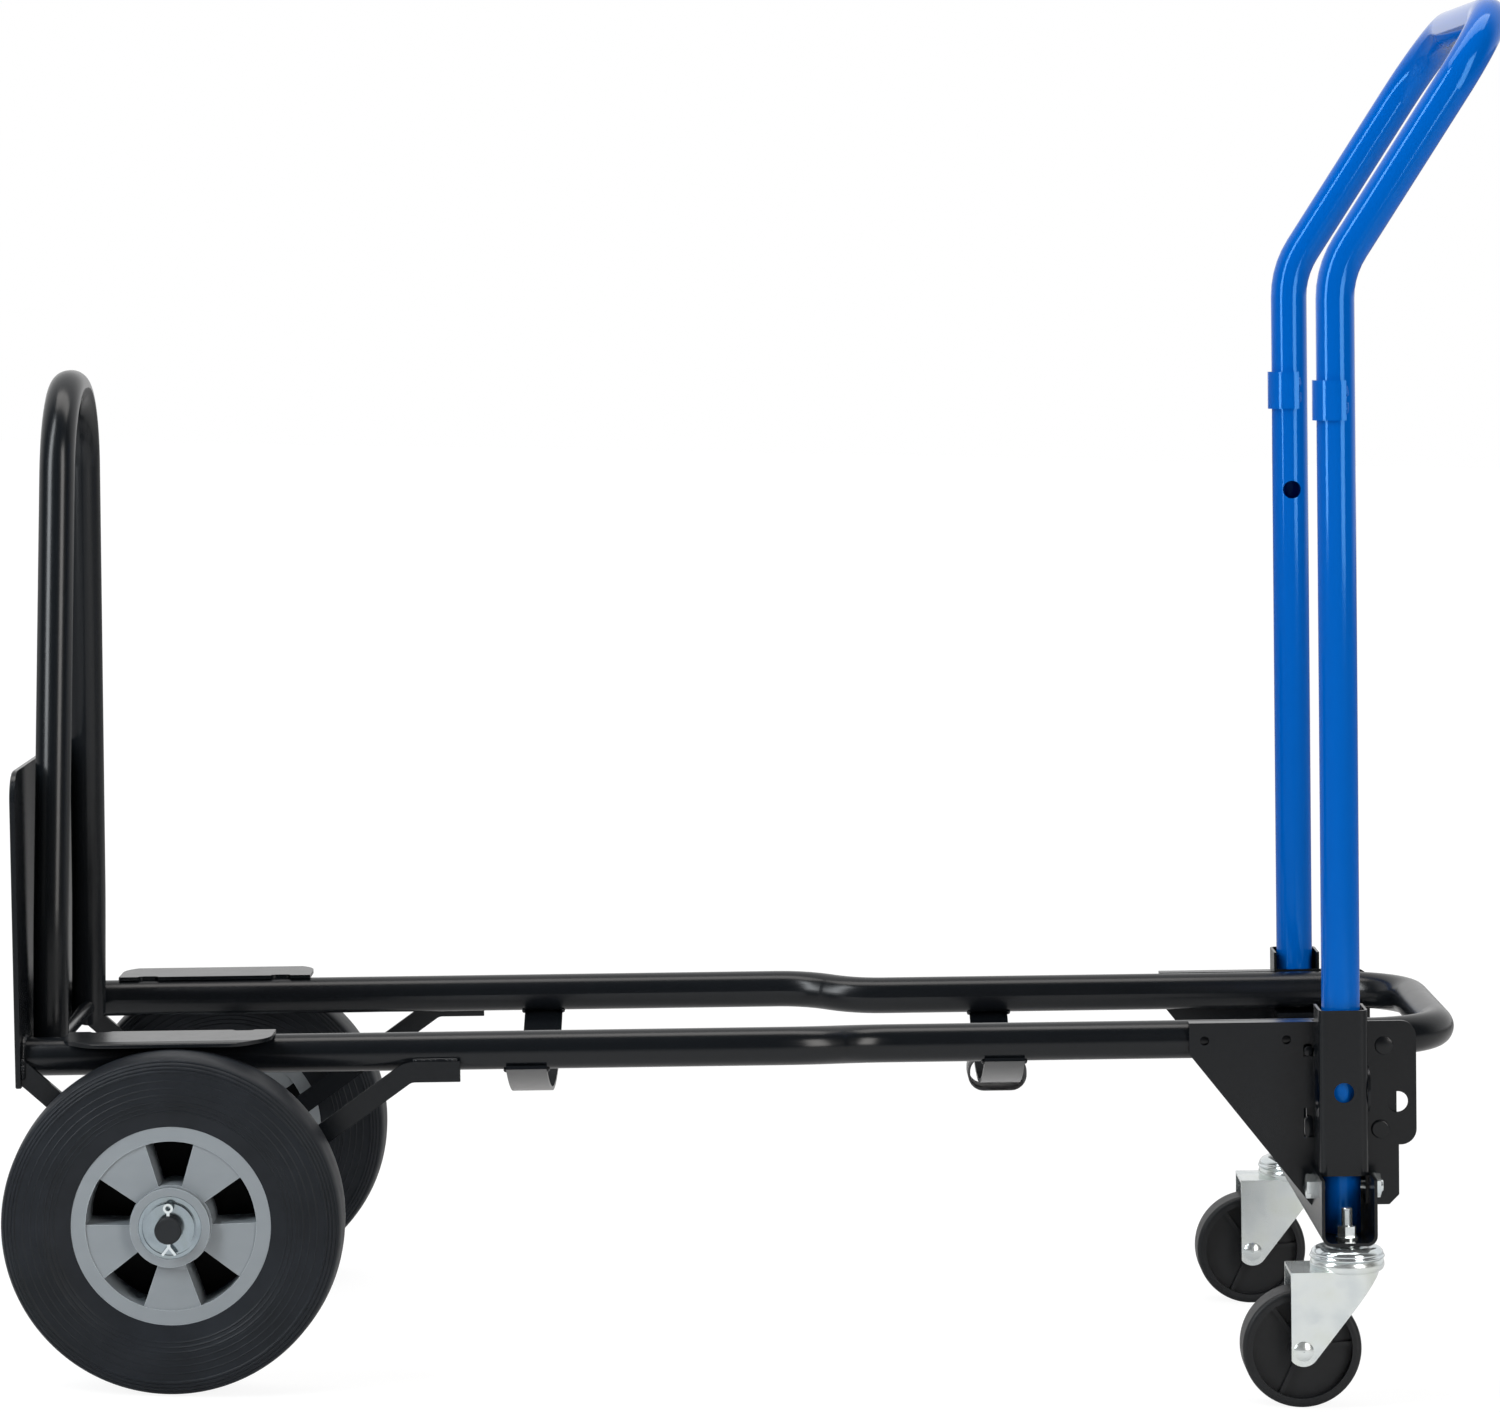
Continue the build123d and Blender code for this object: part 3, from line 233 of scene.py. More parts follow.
def tyre_rubber():
    """Solid rubber: matt, bluish black, dusty in places."""
    m = Nodes("tyre_rubber")
    dust = m.noise(size=0.045, detail=4, roughness=0.6)
    deep, pale = (0.0052, 0.0070, 0.0096), (0.0106, 0.0132, 0.0176)
    m.link(m.ramp(dust, (0.3, deep), (0.75, pale)), m.shader.inputs["Base Color"])
    m.link(m.spread(m.noise(size=0.01, detail=4), low=0.42, high=0.58), m.shader.inputs["Roughness"])
    grain = m.noise(size=0.0012, detail=3)
    m.link(m.bump(grain, distance=0.00005, strength=0.5), m.shader.inputs["Normal"])
    m.set(Specular_IOR_Level=0.22)
    return m.material


EDGE_HIGHLIGHT_PALER = 1.9  # how much paler a moulding's edges are than its palest part: a painted highlight on the edges


def moulded(name, deep, pale, rough, specular=0.5):
    """Moulded plastic: fine grain, faint flow marks and a painted highlight on its sharp edges."""
    m = Nodes(name)
    flow = m.noise(size=0.03, detail=3, place=m.place(scale=(1, 1, 2.5)))
    body = m.mix(m.spread(flow, low=0.1, high=0.9), deep, pale)
    # Painted highlight: sharp edges are made paler, standing in for light caught on their rounding.
    edges = m.edge_highlight_mask(radius=0.0006, low=0.90, high=0.985)
    edge_highlighted = m.mix(edges, body, tuple(min(1, EDGE_HIGHLIGHT_PALER * c) for c in pale))
    m.link(edge_highlighted, m.shader.inputs["Base Color"])
    polish = m.noise(size=0.008, detail=4)
    m.link(m.spread(polish, low=rough - 0.07, high=rough + 0.07), m.shader.inputs["Roughness"])
    grain = m.noise(size=0.0009, detail=2)
    m.link(m.bump(grain, distance=0.00003, strength=0.4), m.shader.inputs["Normal"])
    m.set(Specular_IOR_Level=specular)
    return m.material


# Blender's straight bands turn by 20 radians in a unit at scale 1, and its slanting ones by 10 along
# each axis, so the threads come a little finer than the ribs.
RIB_WAVE, THREAD_WAVE = 20, 9


def woven(name, deep, pale, rib):
    """Webbing: raised ribs, whose wave turns by a radian in rib metres, and slanting threads."""
    m = Nodes(name)
    ribs = m.add("ShaderNodeTexWave", Distortion=0.6, bands_direction="Y")
    ribs.inputs["Scale"].default_value = 1 / rib / RIB_WAVE
    threads = m.add("ShaderNodeTexWave", Distortion=0.8, bands_direction="DIAGONAL")
    threads.inputs["Scale"].default_value = 1 / rib / THREAD_WAVE
    place = m.place()
    m.link(place, ribs.inputs["Vector"])
    m.link(place, threads.inputs["Vector"])
    weave = m.mix(0.5, ribs.outputs["Color"], threads.outputs["Color"])
    m.link(m.mix(weave, deep, pale), m.shader.inputs["Base Color"])
    m.link(m.bump(weave, distance=0.00025, strength=0.8), m.shader.inputs["Normal"])
    m.set(Roughness=0.62, Sheen_Weight=0.35, Sheen_Roughness=0.4)
    return m.material


# ---- finishes -----------------------------------------------------------------------------
BLACK_GLOSS = {"Specular_IOR_Level": 0.31}
BLUE_GLOSS = {"Specular_IOR_Level": 0.46, "Specular_Tint": (0.20, 0.58, 1.0, 1)}
BLACK = powder_coat(
    "frame_black",
    deep=(0.0040, 0.0050, 0.0064),
    pale=(0.0062, 0.0076, 0.0094),
    rough=0.24,
    peel=0.000004,
    **BLACK_GLOSS,
)
BLUE = powder_coat(
    "handle_blue",
    deep=(0.0, 0.094, 0.430),
    pale=(0.0, 0.103, 0.468),
    rough=0.09,
    peel=0.000016,
    **BLUE_GLOSS,
)
ZINC = bright_zinc(
    "zinc_plate",
    dark=(0.64, 0.69, 0.70),
    mid=(0.73, 0.77, 0.77),
    pale=(0.69, 0.73, 0.68),
    metal=0.76,
    rough=0.25,
)
STEEL = bright_zinc(
    "bearing_steel",
    dark=(0.23, 0.27, 0.30),
    mid=(0.30, 0.35, 0.38),
    pale=(0.26, 0.30, 0.31),
    metal=0.92,
    rough=0.14,
)
TURNED = bright_zinc(
    "zinc_turned",
    dark=(0.58, 0.64, 0.67),
    mid=(0.70, 0.75, 0.77),
    pale=(0.66, 0.70, 0.68),
    metal=0.88,
    rough=0.15,
)
RUBBER = tyre_rubber()
HUB = moulded(
    "hub_grey",
    deep=(0.195, 0.217, 0.234),
    pale=(0.230, 0.253, 0.270),
    rough=0.42,
)
CASTER = moulded(
    "caster_black",
    deep=(0.0065, 0.0072, 0.0085),
    pale=(0.0105, 0.0115, 0.0130),
    rough=0.46,
    specular=0.30,
)
# Painted shade: near-black panels, darker than any finish on the truck, stand for the deep shade inside the hub's
# windows.
WINDOW_SHADE = moulded(
    "window_painted_shade",
    deep=(0.0010, 0.0012, 0.0016),
    pale=(0.0018, 0.0020, 0.0026),
    rough=0.60,
    specular=0.10,
)
WEBBING = woven("webbing", deep=(0.012, 0.012, 0.013), pale=(0.05, 0.05, 0.052), rib=0.0016)
AXLE_END = powder_coat(
    "axle_black",
    deep=(0.009, 0.011, 0.013),
    pale=(0.013, 0.015, 0.018),
    rough=0.40,
    peel=0.00002,
    **BLACK_GLOSS,
)
SLOT_FINISHES = {
    "frame_black": BLACK,
    "handle_blue": BLUE,
    "zinc": ZINC,
    "tyre_rubber": RUBBER,
    "hub_grey": HUB,
    "caster_black": CASTER,
    "webbing": WEBBING,
}
NODE_FINISHES = {
    "axle": AXLE_END,
    "window_panels_left": WINDOW_SHADE,
    "window_panels_right": WINDOW_SHADE,
    "axle_washers": STEEL,
    "wheel_bearings_left": STEEL,
    "wheel_bearings_right": STEEL,
    "cotter_pins": TURNED,
    "channel_bolts": TURNED,
    "channel_nuts": TURNED,
    "stem_nuts": TURNED,
    "stem_washers": TURNED,
    "caster_stem_left": TURNED,
    "caster_stem_right": TURNED,
}


def finish_cad_nodes():
    """Give every CAD node its own finish or the one of its slot."""
    for row in frame["record"]["subparts"]:
        node = frame["nodes"][row["node"]]
        node.data.materials.clear()
        node.data.materials.append(NODE_FINISHES.get(row["node"]) or SLOT_FINISHES[row["material_slot"]])


# ---- mesh helpers -------------------------------------------------------------------------
def piece(name, points, faces, material, body, smooth=True):
    """A mesh piece with one material, made of world points, that rides on a body."""
    mesh = bpy.data.meshes.new(name)
    mesh.from_pydata([tuple(p) for p in points], [], faces)
    mesh.update()
    if smooth:
        mesh.shade_smooth()
    mesh.materials.append(material)
    made = bpy.data.objects.new(name, mesh)
    scene.collection.objects.link(made)
    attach(made, body)
    return made


def ring_faces(rings, per_ring, closed=False, capped=False):
    """Quads between neighbouring rings of points, with a flat face at each end if asked."""
    faces = []
    for i in range(rings if closed else rings - 1):
        for j in range(per_ring):
            a, b = i * per_ring, (i + 1) % rings * per_ring
            k = (j + 1) % per_ring
            faces.append((a + j, a + k, b + k, b + j))
    if capped:
        faces.append(tuple(reversed(range(per_ring))))
        faces.append(tuple(range((rings - 1) * per_ring, rings * per_ring)))
    return faces


def turned(name, outline, centre, steps, material, body):
    """Turn a closed outline of (radius, offset along Y) points, in millimetres, about Y."""
    points = []
    for i in range(steps):
        angle = math.tau * i / steps
        out = Vector((math.cos(angle), 0, math.sin(angle)))
        points += [centre + (out * r + ACROSS * y) * MM for r, y in outline]
    return piece(name, points, ring_faces(steps, len(outline), closed=True), material, body)


class Welds:
    """Rippled weld beads, gathered into one piece."""

    SIDES = 8
    STEP = 0.7  # millimetres between rings
    RIPPLE = 2.1  # millimetres from one ripple to the next
    RIPPLE_LOW, RIPPLE_RISE = 0.80, 0.20  # a ripple's lowest share of the radius, and its rise
    UNEVEN = 0.08  # share of the radius that a ring is larger or smaller by chance
    WANDER = 0.12  # share of the radius that a ring is off the line by chance
    BLUNT = 0.3  # millimetres that set how blunt a bead's ends are
    ASKEW = Vector((0.31, 0.87, 0.38))  # along no bead, so that it sets a bead's sideways direction

    def __init__(self, seed):
        self.random = random.Random(seed)
        self.points, self.faces = [], []

    def run(self, corners, radius):
        """Lay a bead of that radius, in millimetres, along a list of world points."""
        lengths = [(b - a).length / MM for a, b in zip(corners, corners[1:])]
        rings = []
        phase = self.random.uniform(0, math.tau)
        total = sum(lengths)
        done = 0
        for (a, b), length in zip(zip(corners, corners[1:]), lengths):
            ahead = (b - a).normalized()
            side = ahead.cross(self.ASKEW).normalized()
            up = side.cross(ahead)
            count = max(2, round(length / self.STEP))
            for i in range(count):
                along = done + length * i / count
                ends = min(1, (along + self.BLUNT) / radius, (total - along + self.BLUNT) / radius)
                ripple = abs(math.sin(phase + math.pi * along / self.RIPPLE))
                swell = self.RIPPLE_LOW + self.RIPPLE_RISE * ripple
                swell *= ends**0.5 * self.random.uniform(1 - self.UNEVEN, 1 + self.UNEVEN)
                wander = self.random.uniform(-self.WANDER, self.WANDER) * radius
                middle = a.lerp(b, i / count) + up * wander * MM
                rings.append((middle, side, up, radius * swell * MM))
            done += length
        start = len(self.points)
        for middle, side, up, size in rings:
            for j in range(self.SIDES):
                turn = math.tau * j / self.SIDES
                self.points.append(middle + (side * math.cos(turn) + up * math.sin(turn)) * size)
        faces = ring_faces(len(rings), self.SIDES, capped=True)
        self.faces += [tuple(start + i for i in face) for face in faces]

    def finish(self, name, material, body):
        """Make one piece of all beads laid so far."""
        return piece(name, self.points, self.faces, material, body)


def arc(centre, first, second, start, end, radius, steps=24):
    """World points on an arc in the plane of two directions, angles in degrees."""
    angles = [math.radians(start + (end - start) * i / steps) for i in range(steps + 1)]
    return [centre + (first * math.cos(a) + second * math.sin(a)) * radius * MM for a in angles]


# ---- tyres --------------------------------------------------------------------------------
# Millimetres, as radii from the wheel's middle or offsets from the middle of its width.
TYRE_HALF = 27.5
RIM_R = 74.0
WHEEL_R = 127.0
BEAD_DEEP = 5.0  # how far inside the tyre's half width its wall starts at the rim
WALL_RISE = 6.0  # how far the wall comes out from there
WALL_STEEP = 1.9  # it is fully out at 1 / WALL_STEEP of the way to the shoulder
WALL_LEAN = 0.3  # how far it leans back by the shoulder
WALL_STEP = 0.5
SIDE_RIDGES = (86.5, 90.0, 93.5, 98.5, 103.5, 109.0)  # radii of fine raised rings on the wall
RIDGE_HALF, RIDGE_TOP_HALF, RIDGE_HIGH, RIDGE_CLEAR = 0.6, 0.2, 0.5, 0.7
RIBS_FROM, RIB_PITCH, RIBS = 114.6, 2.6, 4  # ribs that step round the shoulder
RIB_STEPS = 10
RIB_HIGH = 0.9
RIB_ROUND = 0.6  # below 1, a rib is rounder than a sine wave
SHOULDER_DROP = 5.0
TREAD = ((125.8, 21.0), (126.2, 14.0), (126.7, 7.0), (WHEEL_R, 0.0))
TURN_STEPS = 240


def side_wall(radius):
    """Half of the tyre's width at a radius, without ridges and ribs."""
    if radius < RIBS_FROM:
        up = (radius - RIM_R) / (RIBS_FROM - RIM_R)
        return TYRE_HALF - BEAD_DEEP + WALL_RISE * min(1, WALL_STEEP * up) - WALL_LEAN * up
    round_shoulder = (radius - RIBS_FROM) / (RIBS * RIB_PITCH)
    return TYRE_HALF - BEAD_DEEP + WALL_RISE - WALL_LEAN - SHOULDER_DROP * round_shoulder**2


def tyre_outline():
    """Half of the tyre's section, from the bead to the middle of the tread."""
    radii = [RIM_R + WALL_STEP * i for i in range(round((RIBS_FROM - RIM_R) / WALL_STEP))]
    points = [(radius, side_wall(radius)) for radius in radii]
    for ridge in SIDE_RIDGES:
        points = [p for p in points if abs(p[0] - ridge) > RIDGE_CLEAR]
        base = side_wall(ridge)
        top = base + RIDGE_HIGH
        points += [(ridge - RIDGE_HALF, base), (ridge - RIDGE_TOP_HALF, top)]
        points += [(ridge + RIDGE_TOP_HALF, top), (ridge + RIDGE_HALF, base)]
    points.sort()
    for i in range(RIBS * RIB_STEPS + 1):
        radius = RIBS_FROM + RIB_PITCH * i / RIB_STEPS
        rib = RIB_HIGH * abs(math.sin(math.pi * i / RIB_STEPS)) ** RIB_ROUND
        points.append((radius, side_wall(radius) + rib))
    return points + list(TREAD)


def make_tyres():
    """Tyres with ringed side walls and fine ribs round their shoulders."""
    half = tyre_outline()
    outline = half + [(r, -y) for r, y in reversed(half[:-1])]
    for side, _ in SIDES:
        low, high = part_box(f"tyre_{side}")
        centre = (Vector(low) + Vector(high)) / 2
        made = turned(f"tyre_{side}_ringed", outline, centre, TURN_STEPS, RUBBER, f"wheel_{side}")
        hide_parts(f"tyre_{side}")


# ---- webbing tie --------------------------------------------------------------------------
TIE_WIDE = 33.4
TIE_THICK = 1.7
TIE_LAP = 26.0  # how far the band's ends lap over each other on top
TIE_CORNER = 11.6
TIE_INSET = 0.6  # how far the band's outer face lies inside its plain solid
LAP_GAP = 0.05
LAP_NARROWER = 0.6
LAP_STEPS = 8
TIE_FORWARD = 4.7  # the loop hangs this much nearer the handle than its plain solid


def tie_line(half_long, half_tall, corner, steps=10):
    """Middle line of the tie, as (along, up) points in millimetres round its centre."""
    line = []
    for turn, (sx, sz) in enumerate(((1, 1), (-1, 1), (-1, -1), (1, -1))):
        for i in range(steps + 1):
            angle = math.pi / 2 * (turn + i / steps)
            x = sx * (half_long - corner) + corner * math.cos(angle)
            z = sz * (half_tall - corner) + corner * math.sin(angle)
            line.append((x, z))
    return line


def ribbon(name, line, centre, wide, thick, material, closed):
    """A flat band whose middle line lies in the side view, with rounded edges."""
    half_section = [(-0.5, 0.2), (-0.48, 0.5), (0.48, 0.5), (0.5, 0.2)]
    section = half_section + [(-v, -h) for v, h in half_section]
    count = len(line)
    points = []
    for i, (x, z) in enumerate(line):
        before = line[i - 1] if closed or i else line[i]
        after = line[(i + 1) % count] if closed or i + 1 < count else line[i]
        ahead = (ALONG * (after[0] - before[0]) + UP * (after[1] - before[1])).normalized()
        out = ACROSS.cross(ahead)
        middle = centre + (ALONG * x + UP * z) * MM
        points += [middle + (ACROSS * wide * v + out * thick * h) * MM for v, h in section]
    faces = ring_faces(count, len(section), closed=closed, capped=not closed)
    return piece(name, points, faces, material, "frame")


def make_tie():
    """Stiff loop of webbing round the rear strap, its ends lapped at the top."""
    low, high = (Vector(c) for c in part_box("strap_tie"))
    centre = (low + high) / 2 + ALONG * TIE_FORWARD * MM
    half_long = (high.x - low.x) / 2 / MM - TIE_INSET - TIE_THICK / 2
    half_tall = (high.z - low.z) / 2 / MM - TIE_INSET - TIE_THICK / 2
    line = tie_line(half_long, half_tall, TIE_CORNER)
    loop = ribbon("webbing_loop", line, centre, TIE_WIDE, TIE_THICK, WEBBING, closed=True)
    lap_up = half_tall - TIE_THICK - LAP_GAP
    lap = [(-TIE_LAP / 2 + TIE_LAP * i / LAP_STEPS, lap_up) for i in range(LAP_STEPS + 1)]
    lap_wide = TIE_WIDE - LAP_NARROWER
    end = ribbon("webbing_lap", lap, centre, lap_wide, TIE_THICK, WEBBING, closed=False)
    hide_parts("strap_tie")


# ---- welds --------------------------------------------------------------------------------
# The part's own sizes in millimetres, which scene.py can't read from the frame.
RAIL_R = 14.5
WIDE_HALF = 156.0
NARROW_HALF = 130.0
NARROW_Z = -3.0
TOE_THICK = 4.0
FOOT_FROM, FOOT_TO, FOOT_TOP = 298.0, 333.0, -5.2
STRUT_Z = -5.1
STRUT_HALF = 7.75
FRONT_STRAP_X, REAR_STRAP_X, STRAP_HALF = 383.5, 745.0, 15.25
HANDLE_X, HANDLE_HALF, HANDLE_R = 997.0, 166.0, 14.5
COLLAR_LOW, COLLAR_HIGH, COLLAR_SWEEP = 467.0, 497.0, 220.0
# The beads: their radii, and how far their middles lie off the faces that they join.
RAIL_BEAD, RAIL_BEAD_OFF = 2.3, 0.8
RAIL_BEAD_FROM, RAIL_BEAD_TO = -78, 262  # degrees: all round the rail but underneath
FOOT_BEAD, FOOT_BEAD_OFF = 2.3, 1.0
STRUT_BEAD, STRUT_BEAD_OUT = 2.4, 4.2
STRAP_BEAD, STRAP_BEAD_OFF = 1.6, 0.7
STRAP_BEAD_FROM, STRAP_BEAD_TO = 62, 118
COLLAR_BEAD_LOW, COLLAR_BEAD_HIGH, COLLAR_BEAD_OFF = 1.9, 1.6, 1.2


def frame_welds():
    """Beads of rails and struts on the toe plate, and of brackets' feet and straps on the rails."""
    welds = Welds(11)
    for _, way in SIDES:
        outward = ACROSS * way
        rail = at(TOE_THICK + 1.0, way * WIDE_HALF, 0)
        reach = RAIL_R + RAIL_BEAD_OFF
        welds.run(arc(rail, outward, UP, RAIL_BEAD_FROM, RAIL_BEAD_TO, reach, 40), RAIL_BEAD)
        foot_y = way * (WIDE_HALF + math.sqrt(RAIL_R**2 - FOOT_TOP**2) + FOOT_BEAD_OFF)
        welds.run([at(FOOT_FROM, foot_y, FOOT_TOP), at(FOOT_TO, foot_y, FOOT_TOP)], FOOT_BEAD)
        strut_y = way * (WIDE_HALF + RAIL_R + STRUT_BEAD_OUT)
        strut_low = at(TOE_THICK + 1.5, strut_y, STRUT_Z - STRUT_HALF - 2)
        strut_high = at(TOE_THICK + 1.5, strut_y, STRUT_Z + STRUT_HALF - 1)
        welds.run([strut_low, strut_high], STRUT_BEAD)
        reach = RAIL_R + STRAP_BEAD_OFF
        for x, half, axis_z in ((FRONT_STRAP_X, WIDE_HALF, 0), (REAR_STRAP_X, NARROW_HALF, NARROW_Z)):
            for end in (-1, 1):
                middle = at(x + end * (STRAP_HALF + 0.6), way * half, axis_z)
                line = arc(middle, outward, -UP, STRAP_BEAD_FROM, STRAP_BEAD_TO, reach)
                welds.run(line, STRAP_BEAD)
    made = welds.finish("frame_welds", BLACK, "frame")


def handle_welds():
    """Short beads down the open edges of the handle's collars."""
    welds = Welds(23)
    edge = math.radians(180 - COLLAR_SWEEP / 2 - 4)
    reach = HANDLE_R + COLLAR_BEAD_OFF
    for _, way in SIDES:
        for toward in (-1, 1):
            x = HANDLE_X + reach * math.cos(edge)
            y = way * HANDLE_HALF + toward * reach * math.sin(edge)
            low_bead = [at(x, y, COLLAR_LOW + 5), at(x, y, COLLAR_LOW + 14)]
            high_bead = [at(x + 0.5, y, COLLAR_HIGH - 12), at(x - 0.4, y, COLLAR_HIGH - 4)]
            welds.run(low_bead, COLLAR_BEAD_LOW)
            welds.run(high_bead, COLLAR_BEAD_HIGH)
    made = welds.finish("handle_welds", BLUE, "handle")


# ---- stem threads -------------------------------------------------------------------------
STEM_Y = 196.0
STEM_R = 4.0
STEM_TOP, STEM_NUT_TOP = -121.5, -135.2
THREAD_PITCH = 1.25
THREAD_DEEP = 0.45
THREAD_STEPS = 28  # per turn
THREAD_SHORT = 1.2  # how far below the stem's end the thread stops
# One ridge's section, as reach from the stem's face and height.
THREAD_SECTION = ((-0.3, -0.55), (THREAD_DEEP, -0.08), (THREAD_DEEP, 0.08), (-0.3, 0.55))


def stem_threads():
    """Helical ridges on the caster stems' free ends, above their nuts."""
    for side, way in SIDES:
        points = []
        turns = (STEM_TOP - THREAD_SHORT - STEM_NUT_TOP) / THREAD_PITCH
        steps = round(turns * THREAD_STEPS)
        for i in range(steps + 1):
            angle = math.tau * i / THREAD_STEPS
            rise = STEM_NUT_TOP + THREAD_PITCH * i / THREAD_STEPS
            out = ALONG * math.cos(angle) + ACROSS * math.sin(angle)
            middle = at(HANDLE_X, way * STEM_Y, rise)
            for reach, lift in THREAD_SECTION:
                points.append(middle + (out * (STEM_R + reach) + UP * lift) * MM)
        faces = ring_faces(steps + 1, len(THREAD_SECTION), capped=True)
        made = piece(f"stem_thread_{side}", points, faces, TURNED, "frame", smooth=False)


# ---- caster races -------------------------------------------------------------------------
RACE_TOP, RACE_LOW, RACE_BORE = -150.0, -158.5, 8.0
RACE_SKIRT = 27.4
RACE_STEPS = 96
# Radius and drop below the top: a first rounded ring, and from 26.6 a second, wider one.
CROWN = (
    (19.5, 0.0),
    (22.6, 0.5),
    (25.0, 1.7),
    (26.5, 3.3),
    (27.1, 5.0),
    (26.6, 5.9),
    (27.6, 6.4),
    (28.2, 7.4),
)


def make_races():
    """Pressed crowns of the caster heads, stepped in two rounded rings."""
    crown = [(radius, RACE_TOP - drop) for radius, drop in CROWN]
    outline = [(RACE_BORE, RACE_TOP), *crown, (RACE_SKIRT, RACE_LOW), (RACE_BORE, RACE_LOW)]
    for side, way in SIDES:
        points = []
        for i in range(RACE_STEPS):
            angle = math.tau * i / RACE_STEPS
            for radius, z in outline:
                x = HANDLE_X + radius * math.cos(angle)
                y = way * STEM_Y + radius * math.sin(angle)
                points.append(at(x, y, z))
        faces = [tuple(reversed(face)) for face in ring_faces(RACE_STEPS, len(outline), closed=True)]
        made = piece(f"race_crown_{side}", points, faces, TURNED, "frame")
        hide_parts(f"caster_race_{side}")


# ---- small forms on the handle brackets ----------------------------------------------------
PLATE_THICK = 3.0
PLATE_OUT = NARROW_HALF + RAIL_R + PLATE_THICK
SLEEVE_HALF = 18.4
SLOT_HALF = 4.0
SLOT_X = HANDLE_X - SLEEVE_HALF - SLOT_HALF
SLOT_TABS = ((-7.0, -15.0), (-60.5, -76.5))  # the tabs' tops and bottoms
TAB_HALF, TAB_OUT, TAB_SOFT = 3.2, 0.6, 0.9
PIN_HEAD_X, PIN_HEAD_Z, PIN_HEAD_R = 1031.6, -7.2, 7.0
PIN_HEAD_STEPS = 32
PIN_HEAD_OUT, PIN_HEAD_SOFT = 0.8, 0.6


def raised_form(name, outline, y_from, y_to, soft):
    """A flat black form in the side view, from one Y to another, with a softened outer edge."""
    out = 1 if y_to > y_from else -1
    middle = Vector((sum(p[0] for p in outline), sum(p[1] for p in outline))) / len(outline)
    part_soft = soft * 0.3
    edge = ((y_to - out * soft, 0.0), (y_to - out * part_soft, part_soft), (y_to, soft))
    rings = []
    for y, shrink in ((y_from, 0.0), *edge):
        ring = []
        for x, z in outline:
            inward = middle - Vector((x, z))
            moved = Vector((x, z)) + inward.normalized() * shrink
            ring.append(at(moved.x, y, moved.y))
        rings.append(ring)
    points = [point for ring in rings for point in ring]
    if out < 0:
        faces = ring_faces(len(rings), len(outline), capped=True)
    else:
        faces = [tuple(reversed(face)) for face in ring_faces(len(rings), len(outline), capped=True)]
    made = piece(name, points, faces, BLACK, "frame")


def stadium(x, high, low, half, steps=8):
    """Upright slot outline in the side view."""
    outline = []
    for middle_z, start in ((high - half, 0), (low + half, 180)):
        for i in range(steps + 1):
            angle = math.radians(start + 180 * i / steps)
            outline.append((x + half * math.cos(angle), middle_z + half * math.sin(angle)))
    return outline


def bracket_forms():
    """Tabs that stand out of the brackets' slots, and the heads of pressed-in pins."""
    for side, way in SIDES:
        for k, (high, low) in enumerate(SLOT_TABS):
            outline = stadium(SLOT_X, high, low, TAB_HALF)
            plate_in, tab_face = way * (PLATE_OUT - PLATE_THICK), way * (PLATE_OUT + TAB_OUT)
            raised_form(f"slot_tab_{side}_{k + 1}", outline, plate_in, tab_face, TAB_SOFT)
        outline = []
        for i in range(PIN_HEAD_STEPS):
            angle = math.tau * i / PIN_HEAD_STEPS
            x = PIN_HEAD_X + PIN_HEAD_R * math.cos(angle)
            z = PIN_HEAD_Z + PIN_HEAD_R * math.sin(angle)
            outline.append((x, z))
        head_face = way * (PLATE_OUT + PIN_HEAD_OUT)
        raised_form(f"pin_head_{side}", outline, way * PLATE_OUT, head_face, PIN_HEAD_SOFT)


# ---- floor, world and lamps ---------------------------------------------------------------
FLOOR_R = 20.0
FLOOR_STEPS = 96
PAPER = (0.80, 0.80, 0.80, 1)  # the floor as lamps and reflections find it
WHITE = (1, 1, 1, 1)
NEAR_GLOW = 0.90  # what the camera sees of the floor near the truck without any light on it
FAR_GLOW = 1.0
NEAR_R, FAR_R = 1.2, 3.0  # where the one turns into the other
FLOOR_LIT = 0.16  # how much the light on the floor and the shadows count


def floor():
    """Round pale floor, white to the camera but for the object's faint shadow."""
    m = Nodes("studio_floor")
    paper = m.add("ShaderNodeBsdfDiffuse", Color=PAPER)
    dim_paper = m.add("ShaderNodeBsdfDiffuse", Color=(FLOOR_LIT, FLOOR_LIT, FLOOR_LIT, 1))
    away = m.add("ShaderNodeVectorMath", operation="LENGTH")
    m.link(m.place(), away.inputs[0])
    fade = m.add("ShaderNodeMapRange")
    fade.inputs["From Min"].default_value = NEAR_R
    fade.inputs["From Max"].default_value = FAR_R
    fade.inputs["To Min"].default_value = NEAR_GLOW
    fade.inputs["To Max"].default_value = FAR_GLOW
    m.link(away.outputs["Value"], fade.inputs["Value"])
    glow = m.add("ShaderNodeEmission", Color=WHITE)
    m.link(fade.outputs["Result"], glow.inputs["Strength"])
    seen = m.add("ShaderNodeAddShader")
    m.link(dim_paper.outputs[0], seen.inputs[0])
    m.link(glow.outputs[0], seen.inputs[1])
    path = m.add("ShaderNodeLightPath")
    mixer = m.add("ShaderNodeMixShader")
    m.link(path.outputs["Is Camera Ray"], mixer.inputs[0])
    m.link(paper.outputs[0], mixer.inputs[1])
    m.link(seen.outputs[0], mixer.inputs[2])
    m.link(mixer.outputs[0], m.tree.nodes["Material Output"].inputs["Surface"])
    turns = [math.tau * i / FLOOR_STEPS for i in range(FLOOR_STEPS)]
    rim = [(FLOOR_R * math.cos(turn), FLOOR_R * math.sin(turn), 0) for turn in turns]
    mesh = bpy.data.meshes.new("floor")
    mesh.from_pydata(rim, [], [tuple(range(FLOOR_STEPS))])
    mesh.materials.append(m.material)
    made = bpy.data.objects.new("floor", mesh)
    scene.collection.objects.link(made)


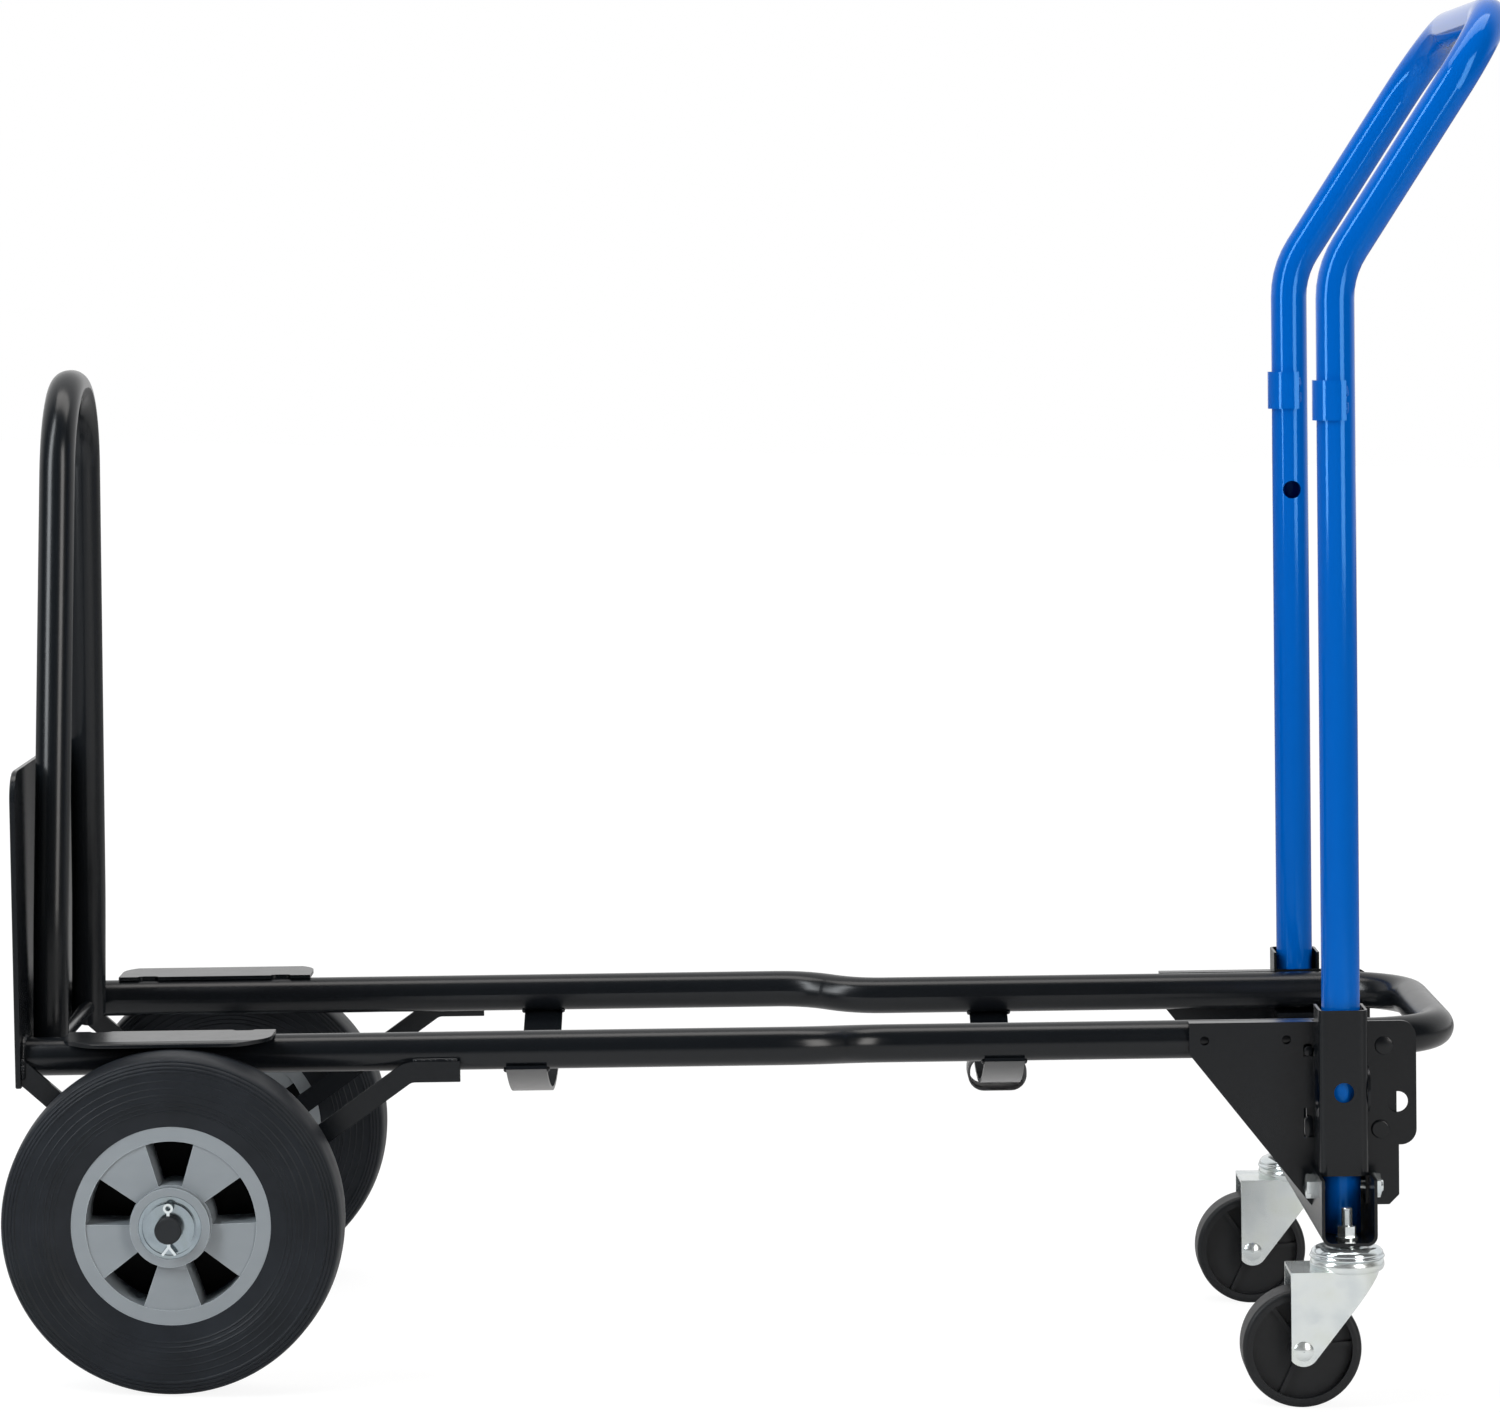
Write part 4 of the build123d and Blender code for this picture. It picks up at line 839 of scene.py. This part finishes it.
DARK_SIDE = 0.03  # brightness of the room behind the camera
BRIGHT_SIDE = 0.95  # and behind the object
SOFT_SHARE = 0.7  # how much of it lights matt surfaces
DARK_TO, BRIGHT_FROM = -0.15, 0.45  # Y of the directions between which it turns from dark to bright


def world_light():
    """Room that is dark behind the camera and bright behind the object; white to the camera."""
    world = bpy.data.worlds.new("studio")
    scene.world = world
    world.use_nodes = True
    tree = world.node_tree
    background = tree.nodes["Background"]
    coords = tree.nodes.new("ShaderNodeTexCoord")
    split = tree.nodes.new("ShaderNodeSeparateXYZ")
    tree.links.new(coords.outputs["Generated"], split.inputs[0])
    back = tree.nodes.new("ShaderNodeMapRange")
    back.interpolation_type = "SMOOTHSTEP"
    back.inputs["From Min"].default_value = DARK_TO
    back.inputs["From Max"].default_value = BRIGHT_FROM
    back.inputs["To Min"].default_value = DARK_SIDE
    back.inputs["To Max"].default_value = BRIGHT_SIDE
    tree.links.new(split.outputs["Y"], back.inputs["Value"])
    path = tree.nodes.new("ShaderNodeLightPath")
    soft = tree.nodes.new("ShaderNodeMath")
    soft.operation = "MULTIPLY"
    soft.inputs[1].default_value = SOFT_SHARE
    tree.links.new(back.outputs["Result"], soft.inputs[0])
    mirrored = tree.nodes.new("ShaderNodeMix")
    mirrored.data_type = "FLOAT"
    tree.links.new(path.outputs["Is Glossy Ray"], mirrored.inputs[0])
    tree.links.new(soft.outputs[0], mirrored.inputs[2])
    tree.links.new(back.outputs["Result"], mirrored.inputs[3])
    seen = tree.nodes.new("ShaderNodeMix")
    seen.data_type = "FLOAT"
    seen.inputs[3].default_value = 1.0
    tree.links.new(path.outputs["Is Camera Ray"], seen.inputs[0])
    tree.links.new(mirrored.outputs[0], seen.inputs[2])
    tree.links.new(seen.outputs[0], background.inputs["Strength"])
    background.inputs["Color"].default_value = WHITE


WARM, COOL = (1.0, 0.97, 0.94), (0.93, 0.97, 1.0)
STRIP_TARGET = (0.2, -0.1, 1.75)


def lamp(name, place, target, size, watts, colour):
    """Soft rectangular lamp, hidden from the camera."""
    data = bpy.data.lights.new(name, "AREA")
    data.shape = "RECTANGLE"
    data.size, data.size_y = size
    data.energy = watts
    data.color = colour
    light = bpy.data.objects.new(name, data)
    light.location = place
    light.visible_camera = False
    light.rotation_euler = (Vector(target) - Vector(place)).to_track_quat("-Z", "Y").to_euler()
    scene.collection.objects.link(light)


def studio():
    """Floor, room, an overhead softbox and two upright strips in front of the truck."""
    floor()
    world_light()
    lamp("overhead", (0.0, 0.1, 2.8), (0, 0, 0.3), size=(2.6, 1.0), watts=34, colour=WARM)
    lamp("left_strip", (-1.33, -1.02, 1.75), STRIP_TARGET, size=(0.46, 2.5), watts=43, colour=COOL)
    lamp("right_strip", (2.1, -2.7, 1.75), STRIP_TARGET, size=(1.25, 2.5), watts=78, colour=WARM)


make_camera()
finish_cad_nodes()
make_tyres()
make_tie()
frame_welds()
handle_welds()
stem_threads()
make_races()
bracket_forms()
studio()

scene.view_settings.view_transform = "Standard"
